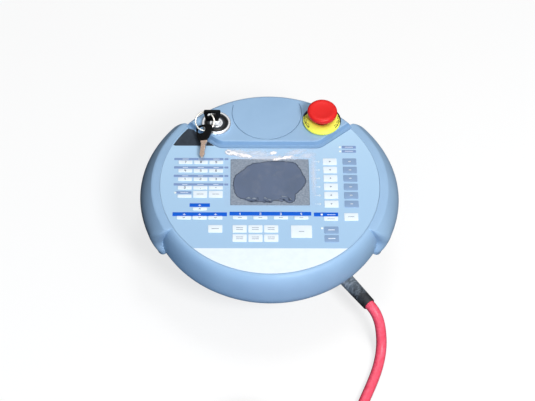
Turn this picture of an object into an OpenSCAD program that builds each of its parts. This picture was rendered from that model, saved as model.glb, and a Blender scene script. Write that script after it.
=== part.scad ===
// Handheld teach pendant: round two-shell housing with side grips, membrane keypad and display,
// emergency stop, key switch, ring handle with enabling rockers, and a cable with its connector.
// It lies on its handle, face up. +Y runs from the operator towards the raised console.

/* [Housing] */
// Radius of the flat face inside the rim
face_r = 109.4; // [106:0.2:112]
// Largest radius of the round rim
rim_r = 120; // [118:0.5:122]
// Height of the face above the surface it lies on
face_z = 104; // [102:0.5:108]
// Height of the widest part of the rim
widest_z = 76; // [75:0.5:78]
// Height of the joint between the two shells
parting_z = 70; // [68:0.5:71]
// Height of the flat back
back_z = 56; // [54:0.5:57]
// Radius of the flat back
back_r = 103; // [102.5:0.5:105]
// Wall of both shells
wall = 3; // [2.5:0.1:3.5]
// Width of the flange round the joint
flange_w = 7; // [6.5:0.5:8]

/* [Side grips] */
// Largest radius of the side grips
grip_r = 129.5; // [126:0.5:134]
// Radius of the rounded ends of the grips
grip_end_r = 12; // [11:0.5:13]
// Angle of the upper end of the grip, measured to the centre of its rounded end
grip_top_angle = 35.6; // [30:0.2:38]
// Angle of the lower end of the grip, measured to the centre of its rounded end
grip_low_angle = -25.6; // [-30:0.2:-20]

/* [Console] */
// Height of the raised console above the face
console_h = 4.5; // [3.5:0.1:6]
// Distance of the console's front edge from the centre
console_y = 45; // [44:0.5:47]
// Half the length of the console's front edge
console_half_w = 51; // [48:0.5:54]
// Angle of the console's side edges
console_side_angle = 38.9; // [36:0.1:42]
// Depth of the level ledge in front of the console
ledge_w = 3; // [2:0.25:4]
// Lean of the console's front bevel from upright
bevel_angle = 22; // [15:1:35]
// Radius of the blank round field on the console
field_r = 35.6; // [30:0.2:38]

/* [Keypad] */
// Thickness of the printed face sheet
overlay_t = 0.8; // [0.6:0.05:1]
// Thickness of the spacer sheet round the snap domes
spacer_t = 0.6; // [0.5:0.05:0.8]
// Thickness of the keypad's circuit board
keypad_board_t = 1.6; // [1.2:0.1:2]
// Height of the embossed keys above the face sheet
emboss_h = 0.5; // [0.3:0.05:0.8]
// Width of a standard key
key_w = 13.9; // [12:0.1:14.2]
// Height of a standard key
key_h = 8.3; // [7.5:0.1:8.6]
// Row pitch of the two columns of movement keys
move_pitch = 10.63; // [10.2:0.01:11]
// Column pitch of the number keys
number_pitch_x = 15.37; // [15:0.01:15.8]
// Row pitch of the number keys
number_pitch_y = 10.74; // [10.4:0.01:11]
// Column pitch of the function keys
function_pitch = 19.97; // [19:0.01:20.5]
// Diameter of a snap dome
dome_d = 4; // [3.4:0.1:4.2]

/* [Display] */
// Width of the display window
window_w = 78; // [74:0.5:80]
// Depth of the display window
window_h = 58.5; // [55:0.5:60]
// Thickness of the display window
window_t = 1.2; // [1:0.1:1.4]
// Thickness of the display module
display_t = 7; // [6:0.5:8]

/* [Emergency stop] */
// Distance of the emergency stop from the centre line
estop_x = 53.5; // [52:0.5:55]
// Distance of the emergency stop from the face's centre towards the back
estop_y = 75.5; // [74:0.5:77]
// Diameter of the mushroom head
mushroom_d = 30.4; // [28:0.2:31]
// Height of the mushroom's top above the console
mushroom_top = 19; // [18:0.5:21]
// Largest diameter of the yellow collar
collar_d = 38.4; // [37:0.2:40]
// Height of the yellow collar
collar_h = 6.5; // [6:0.1:6.7]
// Diameter of the hole it is mounted in
panel_hole_d = 22.3; // [22.2:0.05:22.6]
// Stroke of the mushroom head when struck
estop_stroke = 4; // [3:0.25:4.5]
// Diameter of the plunger
plunger_d = 10; // [9:0.25:11]

/* [Key switch] */
// Distance of the key switch from the centre line
lock_x = -54; // [-55:0.5:-53]
// Distance of the key switch from the face's centre towards the back
lock_y = 72; // [71:0.5:73]
// Diameter of the bright bezel
bezel_d = 30.8; // [30:0.2:32]
// Height of the bezel above the console
bezel_h = 3.5; // [2.5:0.1:4]
// Diameter of the turning cylinder
cylinder_d = 13; // [12:0.2:14.4]
// Width of the key's head
key_head_w = 17; // [15:0.5:18]
// Height of the key's head
key_head_h = 14.5; // [14:0.5:16]
// Thickness of the key's head
key_head_t = 2.8; // [2.6:0.1:3]
// Outer diameter of the key ring
key_ring_d = 20.5; // [20:0.5:22]
// Wire diameter of the key ring
key_ring_wire = 1.6; // [1.2:0.1:1.8]

/* [Handle] */
// Radius of the middle of the ring handle
handle_r = 64; // [63:0.5:65]
// Radial width of the ring handle
handle_w = 28; // [27:0.5:29]
// Height of the ring handle's bar
handle_h = 24; // [23:0.5:25]
// Thickness of the rubber feet below the handle
foot_h = 1.5; // [1:0.1:2]
// Height of the joint between the handle and its cover
cover_z = 8; // [7.5:0.25:8.5]
// Half the angle of the pillar at the back
pillar_half_angle = 16; // [12:1:20]
// Half the angle of the cable chamber at the front
chamber_half_angle = 52; // [50:1:54]

/* [Enabling rockers] */
// Angle of the rocker's pivot from the side
rocker_low_angle = -10; // [-12:0.5:-8]
// Angle of the rocker's free end from the side
rocker_top_angle = 32; // [28:0.5:33]
// How far the rocker stands out of the handle
rocker_proud = 2.5; // [2:0.25:3]
// Diameter of the pivot pins
pin_d = 3; // [2.5:0.1:3.2]

/* [Cable] */
// Diameter of the cable
cable_d = 10.5; // [10:0.25:10.5]
// Height of the cable outlet
gland_z = 40; // [38:0.5:40.5]
// Heading of the cable outlet, measured from +X
gland_heading = -54; // [-58:1:-50]
// Length of the rubber boot
boot_l = 52; // [48:0.5:54]
// Diameter at the middle of the coil's turns
coil_mid_d = 120; // [110:1:126]

/* [Connector] */
// Diameter of the connector's body
connector_d = 24; // [22:0.5:26]
// Length of the connector's body
connector_l = 34; // [30:1:38]
// Diameter of the coupling ring
coupling_d = 27; // [26:0.5:28]

/* [Hidden] */
// Turns across the coil
coil_across = 3;
// Turns high in the coil
coil_layers = 4;

shell_blue = "#94b6da";
sheet_blue = "#b0cfeb";
black = "#202226";
steel = "#c8ccd0";
green = "#2e7d4f";

fit = 0.15;                  // clearance round a piece that lies in a recess
run = 0.05;                  // radial running clearance of a pin or shaft
touch = 0.02;                // clearance of a screw in its hole
round_fn = 96;

stack_t = overlay_t + spacer_t + keypad_board_t;
recess_z = face_z - stack_t;
plate_z = recess_z - wall;
console_z = face_z + console_h;
console_under = console_z - wall;
board_z = recess_z;
spacer_z = board_z + keypad_board_t;
overlay_z = spacer_z + spacer_t;
overlay_r = face_r - 0.4;
boss_r = back_r - 3.5;
screw_d = 3;
handle_top = foot_h + handle_h;
floor_z = back_z + wall;

// Point on an ellipse-shaped rim between the face and its widest part, t from 0 to 90
function rim_top(t, inset) = [face_r + (rim_r - face_r) * sin(t) - inset * sin(t) - inset * 0.2,
    widest_z + (face_z - widest_z) * cos(t) - inset * cos(t)];
function rim_low(t, inset) = [back_r + (rim_r - back_r) * cos(t) - inset * cos(t),
    widest_z - (widest_z - back_z) * sin(t) + inset * sin(t)];
low_parting_t = asin((widest_z - parting_z) / (widest_z - back_z));
function arc(cx, cy, r, a0, a1, n) =
    [for (i = [0:n]) let (a = a0 + (a1 - a0) * i / n) [cx + r * cos(a), cy + r * sin(a)]];
function rounded(w, h, r, n = 4) = concat(arc(w/2 - r, h/2 - r, r, 0, 90, n),
    arc(r - w/2, h/2 - r, r, 90, 180, n), arc(r - w/2, r - h/2, r, 180, 270, n),
    arc(w/2 - r, r - h/2, r, 270, 360, n));
function polar(r, a, z = 0) = [r * cos(a), r * sin(a), z];
// Outline of an arc-shaped block with round ends
function arc_slot(rc, half, a0, a1, n = 16, m = 8) = concat(
    arc(0, 0, rc + half, a0, a1, n),
    arc(rc * cos(a1), rc * sin(a1), half, a1, a1 + 180, m),
    arc(0, 0, rc - half, a1, a0, n),
    arc(rc * cos(a0), rc * sin(a0), half, a0 + 180, a0 + 360, m));

module disc(r, z1, z2, fn = 64) { translate([0, 0, z1]) cylinder(r = r, h = z2 - z1, $fn = fn); }
module ring(r_in, r_out, z1, z2, fn = 64) {
    rotate_extrude($fn = fn) polygon([[r_in, z1], [r_out, z1], [r_out, z2], [r_in, z2]]);
}
module plate(w, h, z1, z2, r = 1) {
    translate([0, 0, z1]) linear_extrude(z2 - z1) polygon(rounded(w, h, r));
}
module both_sides() { children(); mirror([1, 0, 0]) children(); }

// ---- keys: [x, y, width, height] ----
move_x = [60.4, 80.3];
move_y = 27;
number_x = -84.3;
number_y = 25.8;
function_x = -29.6;
function move_key(c, r) = [move_x[c], move_y - r * move_pitch, key_w, key_h];
function number_key(c, r) = [number_x + c * number_pitch_x, number_y - r * number_pitch_y, key_w, 4.4];
keys = concat(
    [for (c = [0:1], r = [0:5]) move_key(c, r)],
    [for (c = [0:2], r = [0:3]) number_key(c, r)],
    [[number_x, -16.9, key_w, 3.7]],
    [for (c = [1:2]) [number_x + c * number_pitch_x, -14.5, key_w, 8.4]],
    [[number_x + number_pitch_x, -32.6, key_w, 3.6]],
    [for (c = [0:2]) [number_x + c * number_pitch_x, -43.3, key_w, 4.1]],
    [for (c = [0:3]) [function_x + c * function_pitch, -43.1, key_w, 3.8]],
    [[59.3, -44, key_w, 5.1], [79.2, -41.9, key_w, 9.1], [number_x + 2 * number_pitch_x, -56.6, key_w, 9]],
    [for (c = [0:2], r = [0:1]) [-29.9 + c * 15.3, -56.5 - r * 11.1, key_w, 8.8]],
    [[30.1, -59.7, 20.4, 14.8], [59.3, -57.8, key_w, key_h], [59.3, -68.1, key_w, key_h]]);
leds = [[71.3, 46], [71.3, 40.4], [-93.5, -12.5], [50.4, -39], [50.3, -55.5]];
led_d = 2;

// ---- console ----
console_run = 120;
module console_plan(grow, z1, z2) {
    dx = console_run * cos(console_side_angle);
    dy = console_run * sin(console_side_angle);
    hw = console_half_w + grow * tan(console_side_angle / 2);
    y0 = console_y - grow;
    translate([0, 0, z1]) linear_extrude(z2 - z1)
        polygon([[hw, y0], [hw + dx, y0 + dy], [-hw - dx, y0 + dy], [-hw, y0]]);
}
module console_bevel(y0, x0, turn, shift) {
    translate([x0, y0, face_z]) rotate([0, 0, turn]) translate([shift, 0, 0]) rotate([-bevel_angle, 0, 0])
        translate([-200, -60, -30]) cube([400, 60, 60]);
}
console_edge_r = 3.5;
console_r = face_r + 1.9;
module console_block() {
    difference() {
        rotate_extrude($fn = round_fn) polygon(concat([[0, recess_z - 1], [console_r, recess_z - 1]],
            arc(console_r - console_edge_r, console_z - console_edge_r, console_edge_r, 0, 90, 4),
            [[0, console_z]]));
        difference() {
            disc(rim_r + 5, recess_z - 2, console_z + 1);
            console_plan(0, recess_z - 3, console_z + 2);
        }
        intersection() {
            disc(rim_r + 5, face_z, console_z + 1);
            union() {
                console_bevel(console_y + ledge_w, 0, 0, 0);
                console_bevel(console_y + ledge_w, console_half_w, console_side_angle, 0);
                console_bevel(console_y + ledge_w, -console_half_w, -console_side_angle, 0);
            }
        }
    }
}

// ---- shells ----
rim_steps = 8;
module front_outside() {
    polygon(concat([[0, face_z]], [for (i = [0:rim_steps]) rim_top(90 * i / rim_steps, 0)],
        [rim_low(low_parting_t, 0), [0, parting_z]]));
}
flange_r = rim_low(low_parting_t, 0)[0] - flange_w;
module front_cavity() {
    polygon(concat([[0, parting_z - 1], [flange_r, parting_z - 1], [flange_r, parting_z + wall]],
        [for (i = [rim_steps:-1:1]) rim_top(90 * i / rim_steps, wall)],
        [[face_r - 4, plate_z], [0, plate_z]]));
}
module shell_profile_rear() {
    polygon(concat([[0, back_z]],
        [for (i = [6:-1:0]) rim_low(low_parting_t + (90 - low_parting_t) * i / 6, 0)],
        [[rim_low(low_parting_t, 0)[0] - flange_w, parting_z],
         [rim_low(low_parting_t, 0)[0] - flange_w, parting_z - wall],
         [rim_low(low_parting_t, 0)[0] - flange_w + 1, floor_z], [0, floor_z]]));
}
// The grip's cross-section beyond the radius of its rounded ends, as [reach, height]
grip_mid_r = grip_r - grip_end_r;
grip_low_z = parting_z - 3;
grip_seam = 0.25;            // the round ends sit this far inside the swept part
function grip_side() = [for (p = [[0.04, -2.7], [0.33, -4.3], [0.62, -7.2], [0.86, -11.3], [0.98, -15.3],
    [1, -18], [0.96, -23], [0.82, -28.5], [0.6, -33.5]]) [p[0] * grip_end_r, face_z + p[1]]];
module grip() {
    span = grip_top_angle - grip_low_angle;
    rotate([0, 0, grip_low_angle]) rotate_extrude(angle = span, $fn = round_fn)
        polygon(concat([[face_r, face_z - 0.05]], [for (p = grip_side()) [grip_mid_r + p[0], p[1]]],
            [[grip_mid_r + 0.42 * grip_end_r, grip_low_z], [rim_r + 0.3, grip_low_z],
             [rim_r + 0.3, parting_z + 1], [rim_r - 1.6, parting_z + 2],
             [rim_r - 2.2, widest_z + 12], [face_r + 3, face_z - 6]]));
    for (a = [grip_low_angle, grip_top_angle]) rotate([0, 0, a]) translate([grip_mid_r, 0, 0])
        rotate_extrude($fn = 48) polygon(concat([[0, face_z - 2.8]],
            [for (p = grip_side()) [max(p[0] - grip_seam, 0.1), p[1] - 0.1]],
            [[0.42 * grip_end_r, grip_low_z + 0.1], [0, grip_low_z + 0.1]]));
}
module front_bosses() {
    for (a = boss_angles) rotate([0, 0, a]) translate([boss_r, 0, parting_z])
        cylinder(d = 9, h = (a == 90 ? console_under : plate_z) - parting_z + 0.5, $fn = 32);
}
boss_angles = [15, 90, 165, 198, 270, 342];
nut_d = 29;
module front_housing() color(shell_blue) {
    difference() {
        union() {
            difference() {
                union() {
                    rotate_extrude($fn = round_fn) front_outside();
                    console_block();
                    both_sides() grip();
                }
                rotate_extrude($fn = round_fn) front_cavity();
                disc(rim_r + 0.3, grip_low_z - 1, parting_z, round_fn);
                // recess for the keypad and its display
                difference() {
                    disc(overlay_r + fit, recess_z, face_z + 1, round_fn);
                    console_plan(0, recess_z - 1, console_z + 2);
                }
                // hollow under the console
                intersection() {
                    disc(console_r - wall, plate_z - 1, console_under);
                    union() {
                        console_plan(-8, plate_z - 2, console_under + 1);
                        for (p = [[estop_x, estop_y], [lock_x, lock_y]]) translate([p[0], p[1], plate_z - 2])
                            cylinder(d = nut_d + 1.5, h = console_under - plate_z + 3, $fn = 48);
                    }
                }
                // window for the display
                plate(window_w + 3.5, window_h + 3.5, plate_z - 1, face_z, 2);
                // shallow round field on the console
                translate([-2.5, 88, 0]) intersection() {
                    ring(field_r - 0.35, field_r + 0.35, console_z - 0.5, console_z + 1, round_fn);
                    translate([2.5, -88, 0]) disc(console_r - 3, console_z - 1, console_z + 2);
                }
            }
            front_bosses();
        }
        for (a = boss_angles) rotate([0, 0, a])
            translate([boss_r, 0, parting_z - 1]) cylinder(d = screw_d + 2 * touch, h = 15, $fn = 24);
        translate([estop_x, estop_y, plate_z]) cylinder(d = panel_hole_d, h = 20, $fn = 64);
        translate([lock_x, lock_y, plate_z]) cylinder(d = panel_hole_d, h = 20, $fn = 64);
    }
}
seal_w = 2;
seal_r = rim_low(low_parting_t, 0)[0] - flange_w / 2;
module rear_housing() color(shell_blue) {
    difference() {
        union() {
            rotate_extrude($fn = round_fn) shell_profile_rear();
            for (a = boss_angles) rotate([0, 0, a]) translate([boss_r, 0, back_z + 1])
                cylinder(d = 9, h = parting_z - back_z - 1, $fn = 32);
            // ribs across the floor
            for (y = [-40, 0, 40]) translate([-90, y - 1, floor_z - 0.5]) cube([180, 2, 6.5]);
        }
        ring(seal_r - seal_w/2 - 0.1, seal_r + seal_w/2 + 0.1, parting_z - 1.5, parting_z + 1, round_fn);
        for (a = boss_angles) rotate([0, 0, a]) translate([boss_r, 0, back_z - 1]) {
            cylinder(d = screw_d + 0.4, h = 20, $fn = 24);
            cylinder(d = 6, h = 1 + screw_head_h + 0.5, $fn = 32);
        }
        for (p = handle_screw_places) translate([p[0], p[1], back_z - 1])
            cylinder(d = 4.4, h = 20, $fn = 24);
        // way for the wires from the cable chamber
        rotate([0, 0, wire_way_angle]) translate([handle_r, 0, back_z - 1]) cylinder(d = 14, h = wall + 2, $fn = 32);
    }
}
module housing_seal() color(black)
    ring(seal_r - seal_w/2, seal_r + seal_w/2, parting_z - 1.5, parting_z, round_fn);

// ---- keypad stack ----
module keypad_sheet(z1, z2, w, h) {
    difference() {
        disc(overlay_r, z1, z2, round_fn);
        console_plan(fit, z1 - 1, z2 + 1);
        plate(w, h, z1 - 1, z2 + 1, 1.5);
    }
}
module keypad_overlay() color(sheet_blue) {
    keypad_sheet(overlay_z, face_z, window_w, window_h);
    for (k = keys) translate([k[0], k[1], face_z - 0.1]) linear_extrude(emboss_h + 0.1)
        polygon(rounded(k[2], k[3], 0.8, 2));
}
module keypad_spacer() color("#e8e8e0") difference() {
    keypad_sheet(spacer_z, overlay_z, window_w + 3, window_h + 3);
    for (k = keys) translate([k[0], k[1], spacer_z - 1]) cylinder(d = dome_d + 0.6, h = 3, $fn = 24);
    for (p = leds) translate([p[0], p[1], spacer_z - 1]) cylinder(d = led_d + 0.6, h = 3, $fn = 16);
}
module snap_domes() color(steel) for (k = keys) translate([k[0], k[1], spacer_z])
    cylinder(d = dome_d, h = spacer_t, $fn = 24);
module keypad_board() color(green) keypad_sheet(board_z, spacer_z, window_w + 3, window_h + 3);
module status_leds() color("#f4f7e8") for (p = leds) translate([p[0], p[1], spacer_z])
    cylinder(d = led_d, h = spacer_t, $fn = 16);

// ---- display ----
module display_window() color("#8b97a8")
    plate(window_w - 2 * fit, window_h - 2 * fit, face_z - window_t, face_z - 0.05, 1.2);
film_x = [-window_w/2 - 6, window_w/2 + 8];
film_y = [-window_h/2 - 0.75, window_h/2 + 14.25];
module protective_film() color("#dfe9f2", 0.4)
    translate([film_x[0], film_y[0], face_z + 0.05])
        cube([film_x[1] - film_x[0], film_y[1] - film_y[0], 0.15]);
module_top = face_z - window_t;
module display_module() color("#3a3f48") {
    plate(window_w - 1, window_h - 1, plate_z - 1, module_top, 1);
    plate(window_w + 12, window_h + 10, plate_z - display_t, plate_z, 2);
}
module display_bracket() color(steel) {
    bracket_z = plate_z - display_t;
    difference() {
        plate(window_w + 26, window_h + 14, bracket_z - 1.2, bracket_z, 2);
        plate(window_w - 14, window_h - 14, bracket_z - 3, bracket_z + 1, 2);
    }
    for (sx = [-1, 1], sy = [-1, 1]) translate([sx * (window_w/2 + 9.5), sy * (window_h/2 + 2), bracket_z - 1])
        cylinder(d = 5, h = display_t + 1, $fn = 24);
}

// ---- electronics ----
main_z = 76;
main_board_size = [150, 96];
main_board_y = -14;
module main_board() color(green) translate([0, main_board_y, 0]) {
    difference() {
        plate(main_board_size[0], main_board_size[1], main_z, main_z + 1.6, 3);
        for (p = standoff_places) translate([p[0], p[1], main_z - 1]) cylinder(d = 3.2, h = 4, $fn = 24);
    }
    for (c = [[-40, 10, 24, 24, 2.2], [10, -12, 18, 14, 1.8], [44, 20, 14, 10, 2], [-20, -26, 30, 8, 5],
        [50, -22, 12, 16, 6]]) color(black) translate([c[0], c[1], main_z + 1.5]) linear_extrude(c[4])
            square([c[2], c[3]], center = true);
}
standoff_inset = 7;
standoff_places = [for (sx = [-1, 0, 1], sy = [-1, 1])
    [sx * (main_board_size[0] / 2 - standoff_inset), sy * (main_board_size[1] / 2 - standoff_inset)]];
module board_standoffs() color("#c9a24a") for (p = standoff_places)
    translate([p[0], p[1] + main_board_y, floor_z]) {
        cylinder(d = 6, h = main_z - floor_z, $fn = 6);
        cylinder(d = 3, h = main_z - floor_z + 3.4, $fn = 24);
    }
// Flat cable from the near edge of the main board, up and forward to the keypad
ribbon_x = [-52, -22];
module ribbon_cable() color("#b9bec4")
    translate([ribbon_x[0], main_board_y - main_board_size[1] / 2 + 5, 0]) {
    translate([0, 0, main_z + 1.6]) cube([30, 6, 3]);
    translate([0, 2.6, main_z + 4]) cube([30, 0.8, plate_z - 5.6 - main_z]);
    translate([0, -3.4, plate_z - 2.4]) cube([30, 6.8, 0.8]);
    translate([0, -3.4, plate_z - 2.4]) cube([30, 0.8, 2.4]);
}

// ---- emergency stop ----
estop_body_top = console_z + 4;
estop_body_low = console_under - 22;
module at_estop() { translate([estop_x, estop_y, 0]) children(); }
module estop_collar() color("#fbf545") at_estop() rotate_extrude($fn = 72) polygon(concat(
    [[panel_hole_d/2 + fit, console_z], [collar_d/2 - 1.8, console_z]],
    [[collar_d/2 - 0.4, console_z + 1.6], [collar_d/2, console_z + 2.8], [collar_d/2 - 0.5, console_z + 3.8],
     [collar_d/2 - 3.4, console_z + 5.6], [collar_d/2 - 6, console_z + collar_h],
     [panel_hole_d/2 + fit, console_z + collar_h]]));
module estop_gasket() color(black) at_estop()
    ring(panel_hole_d/2 + 0.3, panel_hole_d/2 + 3.5, console_under - 1, console_under);
module estop_body() color("#2b2d31") at_estop() rotate_extrude($fn = 64) polygon([
    [plunger_d/2 + run, estop_body_low], [panel_hole_d/2 - 0.1, estop_body_low],
    [panel_hole_d/2 - 0.1, estop_body_top - 1], [panel_hole_d/2 - 1, estop_body_top],
    [plunger_d/2 + run + 2.4, estop_body_top], [plunger_d/2 + run + 2.4, estop_body_top - 8],
    [plunger_d/2 + run, estop_body_top - 8]]);
module estop_nut() color(steel) at_estop() difference() {
    translate([0, 0, console_under - 5]) cylinder(d = nut_d, h = 4, $fn = 6);
    translate([0, 0, console_under - 6]) cylinder(d = panel_hole_d + 0.1, h = 6, $fn = 48);
}
cap_z = console_z + mushroom_top;
cap_low = cap_z - 8.6;
cap_r = mushroom_d / 2;
module estop_mushroom() color("#f23c3c") at_estop() rotate_extrude($fn = 72) polygon(concat(
    [[plunger_d/2 - 1.5 + run, cap_low - 1.4], [plunger_d/2 + 3.4, cap_low - 1.4], [cap_r - 4.8, cap_low + 0.4],
     [cap_r - 0.9, cap_low + 2.6]],
    arc(cap_r - 2.6, cap_z - 2.9, 2.6, -8, 82, 5),
    [[cap_r - 4.6, cap_z - 0.25], [cap_r - 5.4, cap_z - 0.75], [0, cap_z - 1.1],
     [0, cap_z - 4], [plunger_d/2 - 1.5 + run, cap_z - 4]]));
module estop_plunger() color("#d8dadd") at_estop() rotate_extrude($fn = 48) polygon([
    [0, estop_body_low - 1.5], [plunger_d/2 - 2, estop_body_low - 1.5], [plunger_d/2, estop_body_low],
    [plunger_d/2, cap_low - 2], [plunger_d/2 - 1.5, cap_low - 1.6], [plunger_d/2 - 1.5, cap_z - 4.4],
    [0, cap_z - 4.4]]);
// Coil spring between the plunger's well in the body and the mushroom head
spring_r = plunger_d/2 + 1.35;
spring_wire = 0.9;
spring_turns = 4;
spring_low = estop_body_top - 8 + spring_wire / 2 + 0.1;
spring_top = cap_low - 1.4 - spring_wire / 2 - 0.1;
function coil_point(i, n) = let (a = 360 * spring_turns * i / n)
    [spring_r * cos(a), spring_r * sin(a), spring_low + (spring_top - spring_low) * i / n];
function unit(v) = v / norm(v);
// Rings of points round a path; side is the direction in which each ring starts
function ring_points(p, dir, r, k) = let (s = unit(cross(dir, abs(dir[2]) > 0.9 ? [1, 0, 0] : [0, 0, 1])),
    u = cross(s, dir)) [for (j = [0:k - 1]) p + r * (cos(360 * j / k) * s + sin(360 * j / k) * u)];
module tube_along(path, r, k) {
    n = len(path);
    dirs = [for (i = [0:n - 1]) unit(path[min(i + 1, n - 1)] - path[max(i - 1, 0)])];
    pts = [for (i = [0:n - 1]) each ring_points(path[i], dirs[i], r, k)];
    sides = [for (i = [0:n - 2], j = [0:k - 1])
        [i * k + j, i * k + (j + 1) % k, (i + 1) * k + (j + 1) % k, (i + 1) * k + j]];
    polyhedron(points = pts, faces = concat([[for (j = [k - 1:-1:0]) j]], sides,
        [[for (j = [0:k - 1]) (n - 1) * k + j]]), convexity = 6);
}
module estop_spring() color(steel) at_estop()
    tube_along([for (i = [0:12 * spring_turns]) coil_point(i, 12 * spring_turns)], spring_wire / 2, 6);
module estop_contact_block() color("#3c4046") at_estop() difference() {
    plate(26, 20, estop_body_low - 14, estop_body_low, 1);
    translate([0, 0, estop_body_low - 1.5 - estop_stroke - 0.5])
        cylinder(d = plunger_d + 0.6, h = 20, $fn = 32);
}

// ---- key switch ----
module at_lock() { translate([lock_x, lock_y, 0]) children(); }
lock_top = console_z + 2.5;
lock_low = console_under - 20;
module lock_bezel() color("#f4f7f8") at_lock() rotate_extrude($fn = 72) polygon([
    [panel_hole_d/2 + fit, console_z], [bezel_d/2, console_z], [bezel_d/2, console_z + bezel_h - 1.4],
    [bezel_d/2 - 0.8, console_z + bezel_h - 0.3], [bezel_d/2 - 1.8, console_z + bezel_h],
    [bezel_d/2 - 2.8, console_z + bezel_h - 0.3], [bezel_d/2 - 3.3, console_z + 1.4],
    [panel_hole_d/2 + fit, console_z + 1.4]]);
module lock_rosette() color("#15171a") at_lock() rotate_extrude($fn = 64) polygon([
    [panel_hole_d/2 - 0.8, console_z + 1.5], [bezel_d/2 - 3.5, console_z + 1.5],
    [bezel_d/2 - 3.9, console_z + 2.6], [cylinder_d/2 + 1.4, console_z + 3], [cylinder_d/2 + 1.2, console_z + 2.6],
    [panel_hole_d/2 - 0.8, console_z + 2.3]]);
module lock_body() color("#2b2d31") at_lock() rotate_extrude($fn = 64) polygon([
    [cylinder_d/2 + run, lock_low], [panel_hole_d/2 - 0.1, lock_low],
    [panel_hole_d/2 - 0.1, console_z + 1.4], [panel_hole_d/2 - 1, console_z + 1.4],
    [panel_hole_d/2 - 1, console_z + 2.2], [cylinder_d/2 + run, console_z + 2.2]]);
module lock_nut() color(steel) at_lock() difference() {
    translate([0, 0, console_under - 4]) cylinder(d = nut_d, h = 4, $fn = 6);
    translate([0, 0, console_under - 6]) cylinder(d = panel_hole_d + 0.1, h = 8, $fn = 48);
}
keyway = [8.4, 2.4];
keyway_depth = 20;
module lock_cylinder() color("#dfe3e6") at_lock() difference() {
    union() {
        disc(cylinder_d/2, lock_low, lock_top, 48);
        disc(cylinder_d/2 - 1, lock_top - 0.5, lock_top + 0.5, 48);
        disc(4, lock_low - 8, lock_low + 1, 32);
    }
    translate([-keyway[0]/2, -keyway[1]/2, lock_top + 1 - keyway_depth])
        cube([keyway[0], keyway[1], keyway_depth + 1]);
}
module lock_contact_block() color("#3c4046") at_lock() difference() {
    plate(26, 20, lock_low - 14, lock_low - 0.1, 1);
    translate([0, 0, lock_low - 9]) cylinder(d = 8 + 2 * run, h = 20, $fn = 32);
}

// ---- keys and their ring; the key stands in the lock with its flat side to the operator ----
blade_w = 7;
blade_t = 2;
head_low = console_z + 6.5;
head_x = -4;
hole_z = head_low + 7.6;
hole_x = -4.3;
module key_head_shape(w, h, t, hole_at, hole_w, hole_h) {
    difference() {
        linear_extrude(t, center = true) difference() {
            polygon(concat([[-w/2 + 2.6, 0], [w/2 - 2.6, 0], [w/2 - 1.2, h * 0.35]],
                arc(w/2 - 2, h - 2, 2, 0, 90, 3), arc(2 - w/2, h - 2, 2, 90, 180, 3),
                [[1.2 - w/2, h * 0.35]]));
            translate([0, h - 3.2]) polygon(rounded(w - 7, 1.4, 0.6, 2));
        }
        translate(hole_at) linear_extrude(t + 4, center = true) polygon(rounded(hole_w, hole_h, 1, 3));
    }
}
module key_head() color(black) at_lock() translate([head_x, 0, head_low]) rotate([90, 0, 0])
    key_head_shape(key_head_w, key_head_h, key_head_t, [hole_x - head_x, hole_z - head_low, 0], 8.6, 6.2);
module key_blade() color("#c7b48a") at_lock() translate([-blade_w/2, -blade_t/2, lock_top + 3 - keyway_depth])
    cube([blade_w, blade_t, head_low - lock_top - 3 + keyway_depth - 0.02]);
ring_r = (key_ring_d - key_ring_wire) / 2;
ring_tilt = 38;
ring_hook = 41;              // where on the ring the standing key hangs, from +X
function on_ring(a) = ring_r * [cos(a), sin(a) * cos(ring_tilt), sin(a) * sin(ring_tilt)];
ring_centre = [lock_x + hole_x, lock_y, hole_z] - on_ring(ring_hook);
module key_ring() color("#e6e2d2") translate(ring_centre) rotate([ring_tilt, 0, 0])
    rotate_extrude($fn = 64) translate([ring_r, 0]) circle(d = key_ring_wire, $fn = 16);
// The spare key hangs on the near side of the ring and slopes down over the console's edge
spare_w = 18;
spare_l = 18.5;
spare_blade_l = 19.5;
spare_blade_x = 1.6;          // the blade stands off the head's middle line
spare_t = 2.4;
spare_round = 5;
spare_hole_d = 8.6;
spare_hole = [-3, 5.8];    // from the head's middle line and from its far edge
spare_hinge = ring_centre + on_ring(250);
spare_slope = 10;
spare_roll = -22;
spare_turn = -6.4;
module at_spare() {
    translate(spare_hinge) rotate([0, 0, spare_turn]) rotate([spare_slope, 0, 0]) rotate([0, spare_roll, 0])
        translate([-spare_hole[0], spare_hole[1], 0]) children();
}
module spare_key_head() color(black) at_spare() linear_extrude(spare_t, center = true) difference() {
    polygon(concat(arc(spare_w/2 - spare_round, -spare_round, spare_round, 0, 90, 4),
        arc(spare_round - spare_w/2, -spare_round, spare_round, 90, 180, 4),
        [[2 - spare_w/2, -spare_l * 0.7], [4.5 - spare_w/2, -spare_l], [spare_w/2 - 4.5, -spare_l],
         [spare_w/2 - 2, -spare_l * 0.7]]));
    translate([spare_hole[0], -spare_hole[1]]) circle(d = spare_hole_d, $fn = 32);
}
// How deep its cuts are, in even steps along the blade
spare_cuts = [0.2, 0.9, 0.4, 1.1, 0.6, 1.2, 0.3, 0.8];
module spare_key_blade() color("#b99a63") at_spare() translate([spare_blade_x, -spare_l - 0.02, 0])
    rotate([0, 0, 180]) linear_extrude(1.8, center = true) polygon(concat(
        [[-3.6, 0], [3.6, 0], [3.6, 2.2], [2.6, 2.2], [2.6, spare_blade_l - 3], [0.6, spare_blade_l],
         [-1.4, spare_blade_l - 0.6]],
        [for (i = [7 : -1 : 0]) [spare_cuts[i] - 3, 3.4 + i * (spare_blade_l - 6.4) / 7]], [[-3.6, 2.2]]));

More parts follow.
